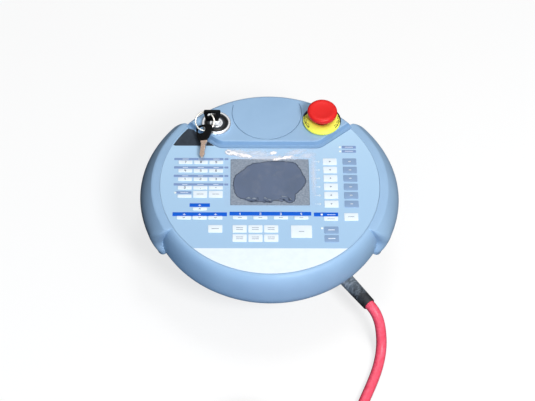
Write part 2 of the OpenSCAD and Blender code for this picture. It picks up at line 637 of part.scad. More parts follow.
// ---- handle ----
bar_half = handle_w / 2;
pillar_half = bar_half - 1;
chamber_a = [-90 - chamber_half_angle, -90 + chamber_half_angle];
pillar_a = [90 - pillar_half_angle, 90 + pillar_half_angle];
handle_wall = 3.5;
aperture = [rocker_low_angle - 6, rocker_top_angle + 2.6];
rocker_z = [foot_h + 7.5, foot_h + 19.5];
rocker_gap = 0.5;
pivot_r = handle_r + bar_half - 5;
handle_screw_places = [for (a = [80, 100, 235, 305]) [handle_r * cos(a), handle_r * sin(a)]];
handle_screw_d = 4;
wire_way_angle = 252;
cover_screw_angles = [54, 90, 126, 234, 270, 306];
function bar_profile() = [for (p = rounded(handle_w, handle_h, 8, 5)) [handle_r + p[0], foot_h + handle_h/2 + p[1]]];
module bar_part(z1, z2) {
    intersection() {
        rotate_extrude($fn = round_fn) polygon(bar_profile());
        disc(handle_r + handle_w, z1, z2);
    }
}
module bar_hollow(z1, z2) {
    ring(handle_r - bar_half + handle_wall, handle_r + bar_half - handle_wall, z1, z2, round_fn);
}
module column(a, half, z1, z2) {
    translate([0, 0, z1]) linear_extrude(z2 - z1) polygon(arc_slot(handle_r, half, a[0], a[1]));
}
gland_dir = [cos(gland_heading), sin(gland_heading), 0];
// Where the outlet's axis leaves the handle's outer radius
gland_line = [62, -52.1, 0];
gland_step = let (b = gland_line * gland_dir, c = gland_line * gland_line - pow(handle_r + bar_half, 2))
    -b + sqrt(b * b - c);
gland_p = gland_line + gland_step * gland_dir + [0, 0, gland_z];
gland_face = 6;
gland_hex = 7;
spigot_d = 16;
module along_outlet() { translate(gland_p) rotate([0, 0, gland_heading]) rotate([0, 90, 0]) children(); }
module handle_body() color(shell_blue) {
    difference() {
        union() {
            bar_part(cover_z, handle_top + 1);
            column(chamber_a, pillar_half, cover_z + 2, back_z);
            column(pillar_a, pillar_half, cover_z + 2, back_z);
            both_sides() along_outlet() translate([0, 0, -14]) cylinder(d = 25, h = 14 + gland_face, $fn = 48);
        }
        difference() {
            union() {
                bar_hollow(cover_z - 1, handle_top - handle_wall);
                column(chamber_a, pillar_half - handle_wall, handle_top - handle_wall - 1, back_z - 4);
                column(pillar_a, pillar_half - handle_wall, handle_top - handle_wall - 1, back_z - 4);
            }
            both_sides() rotate([0, 0, rocker_low_angle]) translate([pivot_r, 0, rocker_z[1] + 0.3])
                cylinder(d = 8.4, h = 20, $fn = 32);
            for (a = cover_screw_angles) rotate([0, 0, a]) translate([handle_r, 0, 0])
                cylinder(d = 8, h = back_z, $fn = 32);
            for (p = handle_screw_places) translate([p[0], p[1], back_z - 16]) cylinder(d = 9, h = 16, $fn = 32);
        }
        rotate([0, 0, wire_way_angle]) translate([handle_r, 0, back_z - 6]) cylinder(d = 14, h = 10, $fn = 32);
        both_sides() {
            // opening for the rocker
            rotate([0, 0, aperture[0]]) rotate_extrude(angle = aperture[1] - aperture[0], $fn = round_fn)
                translate([handle_r + 4, cover_z - 1]) square([30, rocker_z[1] + rocker_gap - cover_z + 1]);
            rotate([0, 0, rocker_low_angle]) translate([pivot_r, 0, 0])
                cylinder(d = pin_d, h = handle_top - 2, $fn = 24);
            along_outlet() translate([0, 0, -18]) cylinder(d = spigot_d + 0.1, h = 40, $fn = 48);
        }
        for (p = handle_screw_places) translate([p[0], p[1], back_z - 14])
            cylinder(d = handle_screw_d + 2 * touch, h = 20, $fn = 24);
        for (a = cover_screw_angles) rotate([0, 0, a]) translate([handle_r, 0, 0])
            cylinder(d = screw_d + 2 * touch, h = 20, $fn = 24);
    }
}
module handle_cover() color(shell_blue) difference() {
    union() {
        difference() {
            bar_part(foot_h, cover_z);
            bar_hollow(foot_h + handle_wall, cover_z + 1);
        }
        both_sides() rotate([0, 0, rocker_low_angle]) translate([pivot_r - 1, 0, foot_h + 2.6])
            cylinder(d = 6.4, h = cover_z - foot_h - 3, $fn = 32);
        for (a = cover_screw_angles) rotate([0, 0, a]) translate([handle_r, 0, foot_h + 1])
            cylinder(d = 8, h = cover_z - foot_h - 1, $fn = 32);
    }
    both_sides() rotate([0, 0, rocker_low_angle]) translate([pivot_r, 0, foot_h + handle_wall])
        cylinder(d = pin_d, h = 20, $fn = 24);
    for (a = cover_screw_angles) rotate([0, 0, a]) translate([handle_r, 0, foot_h - 1]) {
        cylinder(d = screw_d + 0.4, h = 20, $fn = 24);
        cylinder(d = 6, h = 1 + screw_head_h + 0.1, $fn = 32);
    }
    for (a = foot_angles) rotate([0, 0, a]) translate([handle_r, 0, foot_h - 1])
        cylinder(d = foot_d + 0.2, h = 1.8, $fn = 32);
}
foot_angles = [20, 72, 108, 160, 200, 252, 288, 340];
foot_d = 11;
module handle_feet() color(black) for (a = foot_angles) rotate([0, 0, a])
    translate([handle_r, 0, 0]) cylinder(d = foot_d, h = foot_h + 0.8, $fn = 32);

// ---- enabling rockers ----
rocker_out = handle_r + bar_half + rocker_proud;
rocker_t = 4.5;
module enabling_rocker() {
    z1 = rocker_z[0];
    z2 = rocker_z[1];
    difference() {
        union() {
            rotate([0, 0, rocker_low_angle - 3]) rotate_extrude(angle = rocker_top_angle - rocker_low_angle + 3,
                $fn = round_fn) polygon([[rocker_out - rocker_t, z1], [rocker_out - 1.4, z1], [rocker_out - 0.3, z1 + 1.3],
                    [rocker_out, z1 + 3.2], [rocker_out, z2 - 3.2], [rocker_out - 0.3, z2 - 1.3],
                    [rocker_out - 1.4, z2], [rocker_out - rocker_t, z2]]);
            rotate([0, 0, rocker_low_angle]) translate([pivot_r, 0, z1 + 0.4])
                cylinder(d = 8, h = z2 - z1 - 0.8, $fn = 32);
            rotate([0, 0, (rocker_low_angle + rocker_top_angle) / 2 + 4])
                translate([switch_out + 0.4, -2, z1 + 3]) cube([rocker_out - rocker_t - switch_out, 4, 6]);
        }
        rotate([0, 0, rocker_low_angle]) translate([pivot_r, 0, z1 - 1])
            cylinder(d = pin_d + 2 * run, h = 20, $fn = 24);
    }
}
module enabling_rocker_right() color("#3a4048") enabling_rocker();
module enabling_rocker_left() color("#3a4048") mirror([1, 0, 0]) enabling_rocker();
module rocker_pins() color(steel) both_sides() rotate([0, 0, rocker_low_angle])
    translate([pivot_r, 0, foot_h + handle_wall]) cylinder(d = pin_d - 0.02, h = handle_top - 2 - foot_h - handle_wall, $fn = 24);
switch_out = handle_r + 4.6;
module enabling_switch() {
    rotate([0, 0, (rocker_low_angle + rocker_top_angle) / 2 + 4]) difference() {
        translate([switch_out - 13, -10, foot_h + handle_wall]) cube([13, 20, handle_h - 2 * handle_wall]);
        translate([switch_out - 5, -3.4, rocker_z[0] + 2]) cube([6, 6.8, 8]);
    }
}
module enabling_switch_right() color("#2f3338") enabling_switch();
module enabling_switch_left() color("#2f3338") mirror([1, 0, 0]) enabling_switch();

// ---- screws ----
screw_head_h = 2.6;
module screw(d, head_d, head_h, l) {
    difference() {
        union() { cylinder(d = head_d, h = head_h, $fn = 32); cylinder(d = d, h = head_h + l, $fn = 24); }
        translate([0, 0, -1]) cylinder(d = 2.6, h = 2.4, $fn = 6);
    }
}
module housing_screws() color(steel) for (a = boss_angles) rotate([0, 0, a])
    translate([boss_r, 0, back_z + 0.5]) screw(screw_d, 5.6, screw_head_h, 21);
module handle_screws() color(steel) for (p = handle_screw_places)
    translate([p[0], p[1], floor_z + 3]) rotate([180, 0, 0]) screw(handle_screw_d, 7, 3, 15);
module cover_screws() color(steel) for (a = cover_screw_angles) rotate([0, 0, a])
    translate([handle_r, 0, foot_h + 0.1]) screw(screw_d, 5.6, screw_head_h, 14);

// ---- cable outlet ----
boot_start = gland_face + gland_hex;
module cable_gland() color("#33373d") along_outlet() difference() {
    union() {
        translate([0, 0, gland_face]) cylinder(d = 22, h = gland_hex, $fn = 6);
        translate([0, 0, gland_face - 14]) cylinder(d = spigot_d, h = 15, $fn = 48);
        translate([0, 0, gland_face]) cylinder(d = 12.6, h = gland_hex + 6, $fn = 48);
    }
    translate([0, 0, -20]) cylinder(d = cable_d + 0.1, h = 60, $fn = 48);
}
module cable_boot() color("#3a3f47") along_outlet() difference() {
    rotate_extrude($fn = 48) polygon([[cable_d/2 + 0.05, boot_start], [8.2, boot_start], [8.2, boot_start + 4],
        [7.6, boot_start + 5], [7.4, boot_start + 12], [6.5, boot_start + boot_l - 1.5],
        [6.2, boot_start + boot_l], [cable_d/2 + 0.05, boot_start + boot_l]]);
    translate([0, 0, boot_start - 1]) cylinder(d = 12.8, h = 7.2, $fn = 48);
}
module blank_plug() color("#33373d") mirror([1, 0, 0]) along_outlet() {
    translate([0, 0, gland_face]) cylinder(d = 20, h = 2.5, $fn = 48);
    translate([0, 0, gland_face - 12]) cylinder(d = spigot_d, h = 12.5, $fn = 48);
}

// ---- cable: out of the boot, down to the floor and on to the coil ----
boot_end = gland_p + (boot_start + boot_l) * gland_dir;
cable_route = concat([boot_end, boot_end + 4 * gland_dir], [[104.6, -110.6, 37], [107.8, -116, 31], [109.6, -121.8, 24.5],
    [110.6, -128.4, 16.5], [110.4, -135, 11], [109.2, -142.4, 7.4], [106.6, -152.4, 5.6], [103, -163, 5.25],
    [98.6, -174, 5.25], [91.4, -190.6, 5.25], [83, -211, 5.25], [75, -232, 5.25], [69, -253, 5.4],
    [65.4, -273, 6], [64.5, -292, 6.45]]);
coil_centre = [-6, -292];
coil_r = coil_mid_d / 2;
coil_half_w = coil_across * cable_d / 2;
coil_h = coil_layers * cable_d;
tie_t = 1.2;
coil_z = tie_t;              // the tie passes under the coil
module cable_tube() color("#fb5570") tube_along(cable_route, cable_d / 2, 12);
module cable_coil() color("#fb5570") translate([coil_centre[0], coil_centre[1], 0])
    rotate_extrude($fn = 72) polygon([for (p = rounded(2 * coil_half_w, coil_h, cable_d / 2, 3))
        [coil_r + p[0], coil_z + coil_h / 2 + p[1]]]);
// Last part turn on top of the coil, into the connector that lies across it
tail_angles = [90:-15:-120];
tail_z = coil_z + coil_h + cable_d / 2;
connector_p = [-64.5, -308, coil_z + coil_h + coupling_d / 2 + 0.3];
tail_rise = connector_p[2] - tail_z;
tail_route = concat([for (a = tail_angles) [coil_centre[0] + coil_r * cos(a), coil_centre[1] + coil_r * sin(a),
    tail_z]], [[-48.4, -334.4, tail_z + 0.08 * tail_rise], [-55.8, -326.6, tail_z + 0.45 * tail_rise],
    [-61.6, -319.4, tail_z + 0.85 * tail_rise], connector_p - [0, 4, 0], connector_p]);
module cable_tail() color("#fb5570") tube_along(tail_route, cable_d / 2, 12);
module cable_tie() color(black) translate([coil_centre[0], coil_centre[1], 0]) rotate([0, 0, 120])
    translate([coil_r, 0, 0]) rotate([90, 0, 0]) translate([0, 0, -2.5]) linear_extrude(5) difference() {
        translate([0, coil_z + coil_h / 2])
            polygon(rounded(2 * coil_half_w + 2 * tie_t, coil_h + 2 * tie_t, cable_d / 2 + tie_t, 4));
        translate([0, coil_z + coil_h / 2])
            polygon(rounded(2 * coil_half_w + 0.2, coil_h + 0.2, cable_d / 2, 4));
    }

// ---- connector, lying along +Y on the coil ----
module at_connector() { translate(connector_p) rotate([-90, 0, 0]) children(); }
clamp_l = 14;
module connector_clamp() color("#8f949b") at_connector() rotate_extrude($fn = 48) polygon([
    [cable_d/2 + 0.05, 0], [8, 0], [10, 2], [10, clamp_l], [cable_d/2 + 0.05, clamp_l]]);
module connector_body() color("#c9ced3") at_connector() rotate_extrude($fn = 48) polygon([
    [0, clamp_l], [connector_d/2 - 1, clamp_l], [connector_d/2, clamp_l + 1],
    [connector_d/2, clamp_l + connector_l - 16], [connector_d/2 - 2, clamp_l + connector_l - 15],
    [connector_d/2 - 2, clamp_l + connector_l], [connector_d/2 - 3.5, clamp_l + connector_l],
    [connector_d/2 - 3.5, clamp_l + connector_l - 11], [0, clamp_l + connector_l - 11]]);
module connector_ring() color("#dfe3e6") at_connector() difference() {
    rotate_extrude($fn = 48) polygon([[connector_d/2 - 2 + run, clamp_l + connector_l - 14.6],
        [coupling_d/2 - 0.8, clamp_l + connector_l - 14.6], [coupling_d/2, clamp_l + connector_l - 13.8],
        [coupling_d/2, clamp_l + connector_l - 1], [coupling_d/2 - 0.8, clamp_l + connector_l - 0.2],
        [connector_d/2 - 2 + run, clamp_l + connector_l - 0.2]]);
    for (a = [0:20:340]) rotate([0, 0, a]) translate([coupling_d/2 + 0.6, 0, clamp_l + connector_l - 12])
        cylinder(d = 2.2, h = 9, $fn = 12);
}
module connector_insert() color(black) at_connector() {
    translate([0, 0, clamp_l + connector_l - 11]) cylinder(r = connector_d/2 - 3.6, h = 4, $fn = 48);
    for (a = [0:36:324]) rotate([0, 0, a]) translate([5.6, 0, clamp_l + connector_l - 8])
        cylinder(d = 1.2, h = 7, $fn = 16);
    for (a = [0:60:300]) rotate([0, 0, a]) translate([2.6, 0, clamp_l + connector_l - 8])
        cylinder(d = 1.2, h = 7, $fn = 16);
}

front_housing();
rear_housing();
housing_seal();
keypad_overlay();
keypad_spacer();
snap_domes();
keypad_board();
status_leds();
display_window();
protective_film();
display_module();
display_bracket();
main_board();
board_standoffs();
ribbon_cable();
estop_collar();
estop_gasket();
estop_mushroom();
estop_plunger();
estop_body();
estop_nut();
estop_spring();
estop_contact_block();
lock_bezel();
lock_rosette();
lock_cylinder();
lock_body();
lock_nut();
lock_contact_block();
key_blade();
key_head();
key_ring();
spare_key_head();
spare_key_blade();
handle_body();
handle_cover();
enabling_rocker_right();
enabling_rocker_left();
rocker_pins();
enabling_switch_right();
enabling_switch_left();
housing_screws();
handle_screws();
cover_screws();
handle_feet();
cable_gland();
cable_boot();
blank_plug();
cable_tube();
cable_coil();
cable_tail();
cable_tie();
connector_body();
connector_ring();
connector_insert();
connector_clamp();
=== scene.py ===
"""A handheld teach pendant lying face up on its ring handle, with its cable and connector.

The drawing is in millimetres and is scaled to metres when a mesh is made.
"""
from math import acos, asin, atan2, copysign, cos, degrees, exp, hypot, pi, radians, sin, sqrt, tan

import bpy
from mathutils import Matrix, Vector, geometry, noise


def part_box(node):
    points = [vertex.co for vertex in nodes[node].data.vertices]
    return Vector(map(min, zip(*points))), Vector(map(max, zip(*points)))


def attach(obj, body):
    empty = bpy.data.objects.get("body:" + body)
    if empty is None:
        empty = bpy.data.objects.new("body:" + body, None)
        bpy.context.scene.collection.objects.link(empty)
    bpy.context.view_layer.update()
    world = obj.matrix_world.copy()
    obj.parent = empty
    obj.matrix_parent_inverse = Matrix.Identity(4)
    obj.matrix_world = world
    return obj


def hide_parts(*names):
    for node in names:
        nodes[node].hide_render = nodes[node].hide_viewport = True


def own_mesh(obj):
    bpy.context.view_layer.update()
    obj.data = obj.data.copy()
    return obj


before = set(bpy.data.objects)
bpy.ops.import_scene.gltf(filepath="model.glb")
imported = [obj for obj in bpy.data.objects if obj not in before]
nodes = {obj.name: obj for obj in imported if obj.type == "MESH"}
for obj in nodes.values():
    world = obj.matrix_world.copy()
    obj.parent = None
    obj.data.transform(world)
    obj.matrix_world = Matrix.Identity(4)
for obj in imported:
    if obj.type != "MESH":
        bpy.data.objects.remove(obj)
MM = 0.001


# ---- places read from the frame, in millimetres ----
def low_high(node):
    """The low and high corners of a CAD node's box."""
    low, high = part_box(node)
    return [c / MM for c in low], [c / MM for c in high]


def middle(node):
    """The middle of a CAD node's box."""
    low, high = low_high(node)
    return [(a + b) / 2 for a, b in zip(low, high)]


FACE_Z = low_high("display_window")[1][2] + 0.05
CONSOLE_Z = low_high("lock_bezel")[0][2]
ESTOP = middle("estop_collar")
LOCK = middle("lock_bezel")
COIL = middle("cable_coil")
FACE_R = 109.4  # the round face, up to where the rim begins to fall
RIM_R = 120.0
RECESS_R = 109.15  # the shallow recess that the face sheet lies in
CABLE_D = 10.5


# ---- camera ----
def put(name, data):
    """A new object of the scene made of this data."""
    obj = bpy.data.objects.new(name, data)
    bpy.context.scene.collection.objects.link(obj)
    return obj


def make_camera():
    """A long lens, above and in front of the pendant."""
    data = bpy.data.cameras.new("camera")
    data.lens = 100.93
    data.sensor_width = 36.0
    data.clip_end = 20.0
    camera = put("camera", data)
    right = Vector((0.99986, -0.00828, 0.01485))
    up = Vector((-0.00235, 0.79794, 0.60275))
    back = Vector((-0.01684, -0.6027, 0.7978))
    turn = Matrix((right, up, back)).transposed().to_4x4()
    camera.matrix_world = Matrix.Translation(Vector((-27.4, -911.9, 1282.1)) * MM) @ turn
    bpy.context.scene.camera = camera


# ---- node trees ----
def srgb(code):
    """The linear colour of a written sRGB code."""
    parts = [int(code[i:i + 2], 16) / 255 for i in (1, 3, 5)]
    return [p / 12.92 if p <= 0.04045 else ((p + 0.055) / 1.055) ** 2.4 for p in parts] + [1.0]


def connect(node, inputs):
    """Set a node's inputs, by name or in order, to values or to other nodes' outputs."""
    for key, value in inputs.items() if isinstance(inputs, dict) else enumerate(inputs):
        if isinstance(value, bpy.types.NodeSocket):
            node.id_data.links.new(value, node.inputs[key])
        else:
            node.inputs[key].default_value = value
    return node


def add(tree, kind, inputs=(), out=0, stops=(), **settings):
    """Add a shader node with its settings, inputs and colour stops, and give one of its outputs."""
    node = tree.nodes.new("ShaderNode" + kind)
    for key, value in settings.items():
        setattr(node, key, value)
    for _ in stops[2:]:
        node.color_ramp.elements.new(0.5)
    for i, (place, code) in enumerate(stops):
        node.color_ramp.elements[i].position = place
        node.color_ramp.elements[i].color = srgb(code)
    return connect(node, inputs).outputs[out]


def plain(name, colour, roughness, metallic=0.0, sheen=0.5):
    """A material with one colour, its tree and its shader; all but the metals have a plastic's IOR."""
    mat = bpy.data.materials.new(name)
    mat.use_nodes = True
    shader = connect(mat.node_tree.nodes["Principled BSDF"], {
        "Base Color": srgb(colour), "Roughness": roughness, "Metallic": metallic,
        "Specular IOR Level": sheen})
    if not metallic:
        connect(shader, {"IOR": 1.5})
    return mat, mat.node_tree, shader


def sized(tree, size_mm, detail, distortion=0.0):
    """A noise texture's inputs for patches of about this size on the object."""
    return {"Vector": add(tree, "TexCoord", out="Object"), "Scale": 1 / (size_mm * MM), "Detail": detail,
            "Distortion": distortion}


# ---- materials ----
def moulded(name, colour, shade, roughness, grain_mm=0.55, grain_depth=0.012, wear=0.06, sheen=0.3):
    """Injection-moulded plastic with a fine spark-eroded grain: it breaks the highlight up softly,
    and a faint cloudiness from handling keeps large surfaces from looking computed."""
    mat, tree, shader = plain(name, colour, roughness, sheen=sheen)
    mottling = add(tree, "TexNoise", sized(tree, 38, 4.0, 0.4))
    handling = add(tree, "TexNoise", sized(tree, 21, 3.0))
    grain = add(tree, "TexNoise", sized(tree, grain_mm, 2.0))
    connect(shader, {
        "Base Color": add(tree, "ValToRGB", [mottling], stops=[(0.3, shade), (0.62, colour)]),
        "Roughness": add(tree, "MapRange", [handling, 0.3, 0.7, roughness - wear, roughness + wear]),
        "Normal": add(tree, "Bump", {"Height": grain, "Distance": grain_depth * MM})})
    return mat


def painted_shade_rim_shell():
    """The same moulded plastic on the rim, with painted shade on the outer sides of both grips:
    they go towards dark grey as they turn downwards, and more so on the left."""
    mat = moulded("abs_pc_blue_moulded_painted_shade", "#9bbcdc", "#95b6d7", 0.46)
    tree = mat.node_tree
    shader = tree.nodes["Principled BSDF"]
    unshaded = shader.inputs["Base Color"].links[0].from_socket
    upward = add(tree, "SeparateXYZ", [add(tree, "NewGeometry", out="Normal")], "Z")
    across = add(tree, "SeparateXYZ", [add(tree, "TexCoord", out="Object")], "X")
    outward = add(tree, "Math", [across], operation="ABSOLUTE")
    # Painted shade: the grips' outer sides go towards dark grey as they turn down, more on the left
    on_grip = add(tree, "MapRange", [outward, 0.098, 0.124])
    turned = add(tree, "MapRange", [upward, 0.9, 0.3])
    left = add(tree, "MapRange", [across, -0.1, 0.1, 0.8, 0.33])
    both = add(tree, "Math", [on_grip, turned], operation="MULTIPLY")
    painted_shade = add(tree, "Math", [both, left], operation="MULTIPLY")
    connect(shader, {"Base Color": add(tree, "Mix", {"Factor": painted_shade, "A": unshaded, "B": srgb("#414345")},
                                       "Result", data_type="RGBA")})
    return mat


def face_sheet():
    """Matt polyester face sheet, reverse-printed, under a fine textured hard coat; its blue is made
    a little lighter towards the console."""
    mat, tree, shader = plain("polyester_sheet_reverse_printed", "#a9c9e6", 0.42, sheen=0.3)
    place = add(tree, "SeparateXYZ", [add(tree, "TexCoord", out="Object")], "Y")
    height = add(tree, "MapRange", [place, -0.08, 0.075])
    coat = add(tree, "TexNoise", sized(tree, 0.35, 2.0))
    blues = [(0.0, "#a2c3e1"), (0.45, "#a9cae7"), (1.0, "#b4d5f0")]
    connect(shader, {
        "Base Color": add(tree, "ValToRGB", [height], stops=blues),
        "Normal": add(tree, "Bump", {"Height": coat, "Distance": 0.006 * MM})})
    return mat


def printed(name, colour, roughness=0.42, uneven=0.07):
    """Screen-printed ink under the matt sheet: a slightly uneven ink film of one colour."""
    mat, tree, shader = plain(name, colour, roughness, sheen=0.25)
    thin = add(tree, "MapRange", [add(tree, "TexNoise", sized(tree, 6, 4.0)), 0.3, 0.7, 0, uneven])
    coat = add(tree, "TexNoise", sized(tree, 0.35, 2.0))
    connect(shader, {
        "Base Color": add(tree, "Mix", {"Factor": thin, "A": srgb(colour), "B": srgb("#7f93a8")}, "Result",
                          data_type="RGBA"),
        "Normal": add(tree, "Bump", {"Height": coat, "Distance": 0.006 * MM})})
    return mat


def metal(name, colour, roughness, streak_mm=0.4):
    """Turned and plated metal: fine turning marks stretch the reflections a little."""
    mat, tree, shader = plain(name, colour, roughness, metallic=1.0)
    marks = add(tree, "TexNoise", sized(tree, streak_mm, 4.0))
    connect(shader, {
        "Roughness": add(tree, "MapRange", [marks, 0.3, 0.7, roughness * 0.8, roughness * 1.25]),
        "Normal": add(tree, "Bump", {"Height": marks, "Distance": 0.002 * MM})})
    return mat


def rubber(name, colour, shade):
    """Moulded elastomer: matt, dusty in patches, with a slightly pitted skin."""
    mat, tree, shader = plain(name, colour, 0.7)
    dust = add(tree, "TexNoise", sized(tree, 7, 6.0, 0.8))
    pits = add(tree, "TexNoise", sized(tree, 0.8, 3.0))
    connect(shader, {
        "Base Color": add(tree, "ValToRGB", [dust], stops=[(0.38, shade), (0.68, colour)]),
        "Normal": add(tree, "Bump", {"Height": pits, "Distance": 0.03 * MM})})
    return mat


def boot_rubber():
    """Moulded elastomer of the cable's boot: near black, with a painted highlight that greys it
    towards the housing, and mottled patches along it."""
    mat, tree, shader = plain("tpe_boot_moulded", "#4a5058", 0.6)
    place = add(tree, "TexCoord", out="Object")
    along = add(tree, "VectorMath", [place, (0.5878, -0.809, 0.0)], "Value", operation="DOT_PRODUCT")
    # Painted highlight: the grey lightens towards the housing end of the boot
    painted_highlight = add(tree, "MapRange", [along, 0.1045, 0.145])
    patches = add(tree, "TexNoise", sized(tree, 4, 6.0, 0.8))
    uneven = add(tree, "MapRange", [patches, 0.25, 0.75, -0.28, 0.28])
    pits = add(tree, "TexNoise", sized(tree, 0.8, 3.0))
    greys = [(0.0, "#97a3b0"), (0.3, "#68727c"), (0.62, "#2a2e33"), (1.0, "#101214")]
    highlight_and_patches = add(tree, "Math", [painted_highlight, uneven], operation="ADD")
    connect(shader, {
        "Base Color": add(tree, "ValToRGB", [highlight_and_patches], stops=greys),
        "Normal": add(tree, "Bump", {"Height": pits, "Distance": 0.03 * MM})})
    return mat


def cable_jacket():
    """Extruded polyurethane jacket in signal red: satin, with the faint lay of the cores showing
    through as slow ripples and scuffs that dull it."""
    mat, tree, shader = plain("polyurethane_jacket_extruded", "#fb5570", 0.42)
    scuffs = add(tree, "TexNoise", sized(tree, 5, 5.0, 1.0))
    ripples = add(tree, "TexNoise", sized(tree, 9, 1.0))
    connect(shader, {
        "Base Color": add(tree, "ValToRGB", [scuffs], stops=[(0.35, "#f04a64"), (0.65, "#fd5f78")]),
        "Roughness": add(tree, "MapRange", [scuffs, 0.3, 0.7, 0.36, 0.52]),
        "Normal": add(tree, "Bump", {"Height": ripples, "Distance": 0.12 * MM})})
    return mat


def window_pane(name, colour, roughness, cloud_mm, detail, stops):
    """Clear window over the display, seen as one soft grey: only its mottling tells whether the
    protective film lies on it or stands off."""
    mat, tree, shader = plain(name, colour, roughness, sheen=0.15)
    mottling = add(tree, "TexNoise", sized(tree, cloud_mm, detail))
    connect(shader, {"Base Color": add(tree, "ValToRGB", [mottling], stops=stops)})
    return mat


def spot(tree, place, at, half, turn, soft):
    """1 inside an ellipse of these half sizes in mm, falling off softly to its edge."""
    turned = add(tree, "Mapping", {
        "Vector": place, "Location": (at[0] * MM, at[1] * MM, 0), "Rotation": (0, 0, radians(turn)),
        "Scale": (half[0] * MM, half[1] * MM, 1)}, vector_type="TEXTURE")
    level = add(tree, "VectorMath", [turned, (1, 1, 0)], operation="MULTIPLY")
    away = add(tree, "VectorMath", [level], "Value", operation="LENGTH")
    return add(tree, "MapRange", [away, 1.0, 1.0 - soft])


# Folds of the film as ellipses: centre and half sizes in mm, turn in degrees and softness of the edge.
# Glints are painted white streaks of lamp light, hollows are the dark hearts of two of them, and sheens are
# broad, faint painted reflections.
GLINTS = [((-41.4, 38.6), (4.0, 4.2), 0, 0.25), ((-35.6, 36.6), (6.4, 3.2), -16, 0.35),
          ((-28.0, 34.8), (7.6, 3.2), -11, 0.35), ((-20.8, 33.3), (5.4, 2.1), -10, 0.5),
          ((3.8, 37.4), (4.0, 2.3), 15, 0.4), ((8.2, 29.9), (6.8, 1.9), 10, 0.4),
          ((17.0, 32.0), (9.4, 2.1), 15, 0.45)]
HOLLOWS = [((-41.7, 38.7), (1.9, 2.1), 0, 0.5), ((-30.5, 34.0), (3.0, 0.8), -12, 0.6)]
SHEENS = [((-12.0, 36.5), (20.0, 5.6), -6, 0.8), ((26.0, 38.4), (14.0, 4.2), 14, 0.8),
          ((37.5, 34.0), (10.0, 5.0), 10, 0.8), ((0.0, 31.4), (46.0, 3.4), 0, 0.6),
          ((-30.0, 38.5), (16.0, 4.0), -8, 0.7), ((43.6, 10.0), (3.4, 34.0), 0, 1.0)]


def clear_film():
    """Thin clear protective film: nearly invisible, but where it stands off the sheet its folds
    carry painted reflections of the lamp, white streaks and broad pale sheens."""
    mat, tree, shader = plain("polyethylene_film_clear", "#f6fbff", 0.16)
    tree.nodes.remove(shader)
    clear = add(tree, "BsdfTransparent", [(1.0, 0.99, 0.993, 1.0)])
    white = add(tree, "BsdfDiffuse", [srgb("#fffafa")])
    stray = add(tree, "TexNoise", sized(tree, 3.2, 4.0), "Color")
    centred = add(tree, "VectorMath", [stray, (0.5, 0.5, 0.5)], operation="SUBTRACT")
    place = add(tree, "VectorMath", [centred, (0.0042, 0.0042, 0.0), add(tree, "TexCoord", out="Object")],
                operation="MULTIPLY_ADD")

    def strongest(shapes, amount):
        """The brightest of these ellipses at each place."""
        total = None
        for shape in shapes:
            one = add(tree, "MapRange", [spot(tree, place, *shape), 0, 1, 0, amount])
            total = add(tree, "Math", [total, one], operation="MAXIMUM") if total else one
        return total

    # Painted reflections: white where the glint and sheen ellipses lie, hollowed in two glints
    hollow = add(tree, "Math", [1.0, strongest(HOLLOWS, 0.7)], operation="SUBTRACT")
    bright = add(tree, "Math", [strongest(GLINTS, 0.97), hollow], operation="MULTIPLY")
    glare = add(tree, "Math", [bright, strongest(SHEENS, 0.42)], operation="MAXIMUM")
    folds = add(tree, "TexNoise", sized(tree, 9, 3.0, 1.2))
    haze = add(tree, "MapRange", [folds, 0.5, 0.8, 0.0, 0.05])
    factor = add(tree, "Math", [glare, haze], operation="MAXIMUM")
    connect(tree.nodes["Material Output"], {"Surface": add(tree, "MixShader", [factor, clear, white])})
    return mat


